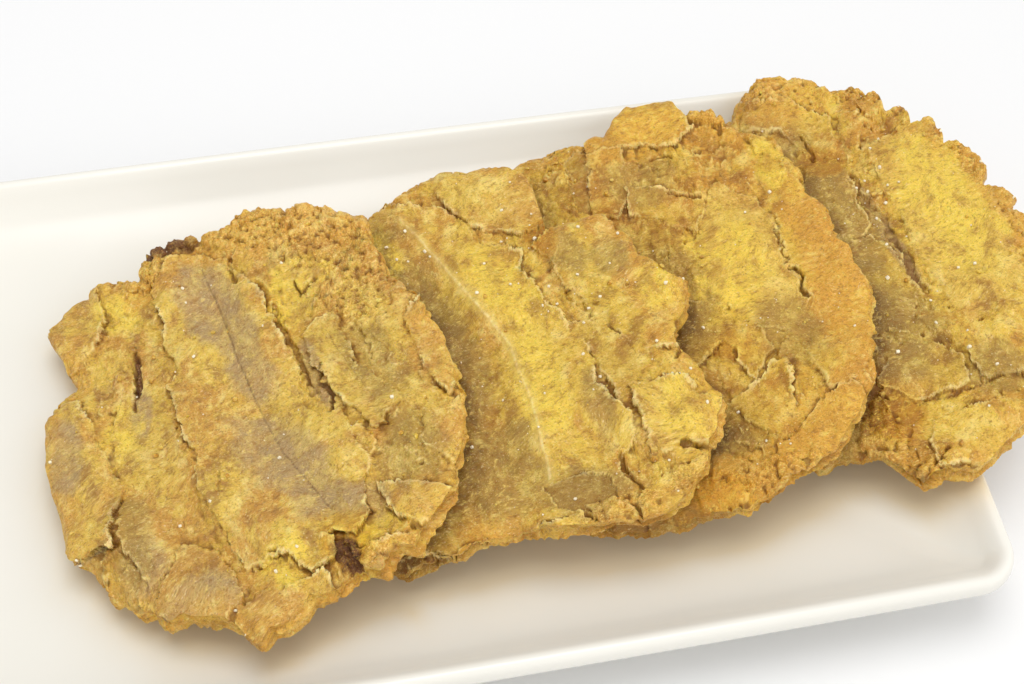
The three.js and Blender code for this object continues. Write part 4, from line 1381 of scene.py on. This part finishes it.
def scatter(name, counts, sizes, make, material, spread):
    """One piece of many small things on the tops of the discs. `spread` is how evenly they lie."""
    bm = bmesh.new()
    for piece in tostones:
        verts = piece.data.vertices
        places = np.array([verts[i].co[:] for i in range(TOP_COUNT)]) / MM
        drift = rough(places[:, 0], places[:, 1], DRIFT_SIZE, 77, 2)
        likely = smooth_step(-spread, spread, drift) + 0.05
        for index in draw.choice(TOP_COUNT, counts[piece.name], p=likely / likely.sum()):
            size = (sizes[0] + (sizes[1] - sizes[0]) * draw.random() ** 2) * MM
            spin = Matrix.Rotation(draw.uniform(0, 6.28), 4, Vector(draw.normal(size=3)).normalized())
            stretch = Matrix.Diagonal((size, size * draw.uniform(0.6, 1), size * draw.uniform(0.6, 1), 1))
            spot = verts[int(index)].co + verts[int(index)].normal * 0.25 * size
            make(bm, Matrix.Translation(spot) @ spin @ stretch)
    return finish_piece(bm, name, material, sharp_deg=30)


grains = scatter("salt_grains", SALT_COUNTS, SALT_SIZES, salt_grain, salt, 0.5)
crumb_counts = {piece.name: CRUMB_COUNT for piece in tostones}
crumbs = scatter("crumbs", crumb_counts, CRUMB_SIZES, crumb, plantain, 0.9)
spots = np.array([vert.co[:] for vert in crumbs.data.vertices]) / MM
store(crumbs.data, "grain", spots)
store(crumbs.data, "tone", (0.5 + rough(spots[:, 0], spots[:, 1], 3, 9, 2)).clip(-1, 1))
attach(grains, "root")
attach(crumbs, "root")
print("salt faces:", len(grains.data.polygons), "crumb faces:", len(crumbs.data.polygons))

# %% [markdown]
# ## Floor and light
# The dish stands on a plain white surface in soft light, as on a table beside large windows. A lamp almost
# straight above gives the flakes their shadows, and a bright sky fills them. The sky is a little brighter on
# the near right, so that the tops of the discs keep some shape, and the lamp is a wide square, so that no
# shadow has a hard edge.

# %% The white table
# A matt laminate top scatters nearly all of its light, so it shows soft shadows and no clear reflection.
FLOOR_HALF = 2  # metres

bm = bmesh.new()
bmesh.ops.create_grid(bm, x_segments=1, y_segments=1, size=FLOOR_HALF)
table_top, tree, output = new_material("white table top")
matt = add(tree, "ShaderNodeBsdfPrincipled", inputs={"Base Color": colour("#e9e9e9"), "Roughness": 0.9})
tree.links.new(matt.outputs["BSDF"], output.inputs["Surface"])
floor = finish_piece(bm, "floor", table_top)
print("the floor is", round(2 * FLOOR_HALF, 1), "m wide")

# %% An even sky, brighter on the near right
SKY_STRENGTH, SKY_SLOPE = 0.84, (0.3, -0.33, 0)

sky = bpy.data.worlds.new("sky")
sky.use_nodes = True
backdrop = sky.node_tree.nodes["Background"]
backdrop.inputs["Color"].default_value = colour("#ffffff")
way = add(sky.node_tree, "ShaderNodeTexCoord")
side = add(sky.node_tree, "ShaderNodeVectorMath", {"operation": "DOT_PRODUCT"}, {1: SKY_SLOPE},
           {0: way.outputs["Generated"]})
bright = add(sky.node_tree, "ShaderNodeMath", {"operation": "ADD"}, {0: SKY_STRENGTH},
             {1: side.outputs["Value"]})
sky.node_tree.links.new(bright.outputs["Value"], backdrop.inputs["Strength"])
scene.world = sky
scene.view_settings.view_transform = "Standard"
print("sky strength", SKY_STRENGTH)

# %% A wide lamp above the dish
DISH_MIDDLE = Vector((0.03, 0, 0.015))
LAMP_PLACE, LAMP_SIZE, LAMP_POWER = Vector((0.06, -0.01, 0.7)), 0.42, 2.2  # metres and watts

lamp_data = bpy.data.lights.new("key lamp", "AREA")
lamp_data.size, lamp_data.energy = LAMP_SIZE, LAMP_POWER
lamp = bpy.data.objects.new("key lamp", lamp_data)
lamp.location = LAMP_PLACE
lamp.rotation_mode = "QUATERNION"
lamp.rotation_quaternion = (DISH_MIDDLE - LAMP_PLACE).to_track_quat("-Z", "Y")
scene.collection.objects.link(lamp)
print("the lamp hangs", round((LAMP_PLACE - DISH_MIDDLE).length, 2), "m from the dish")
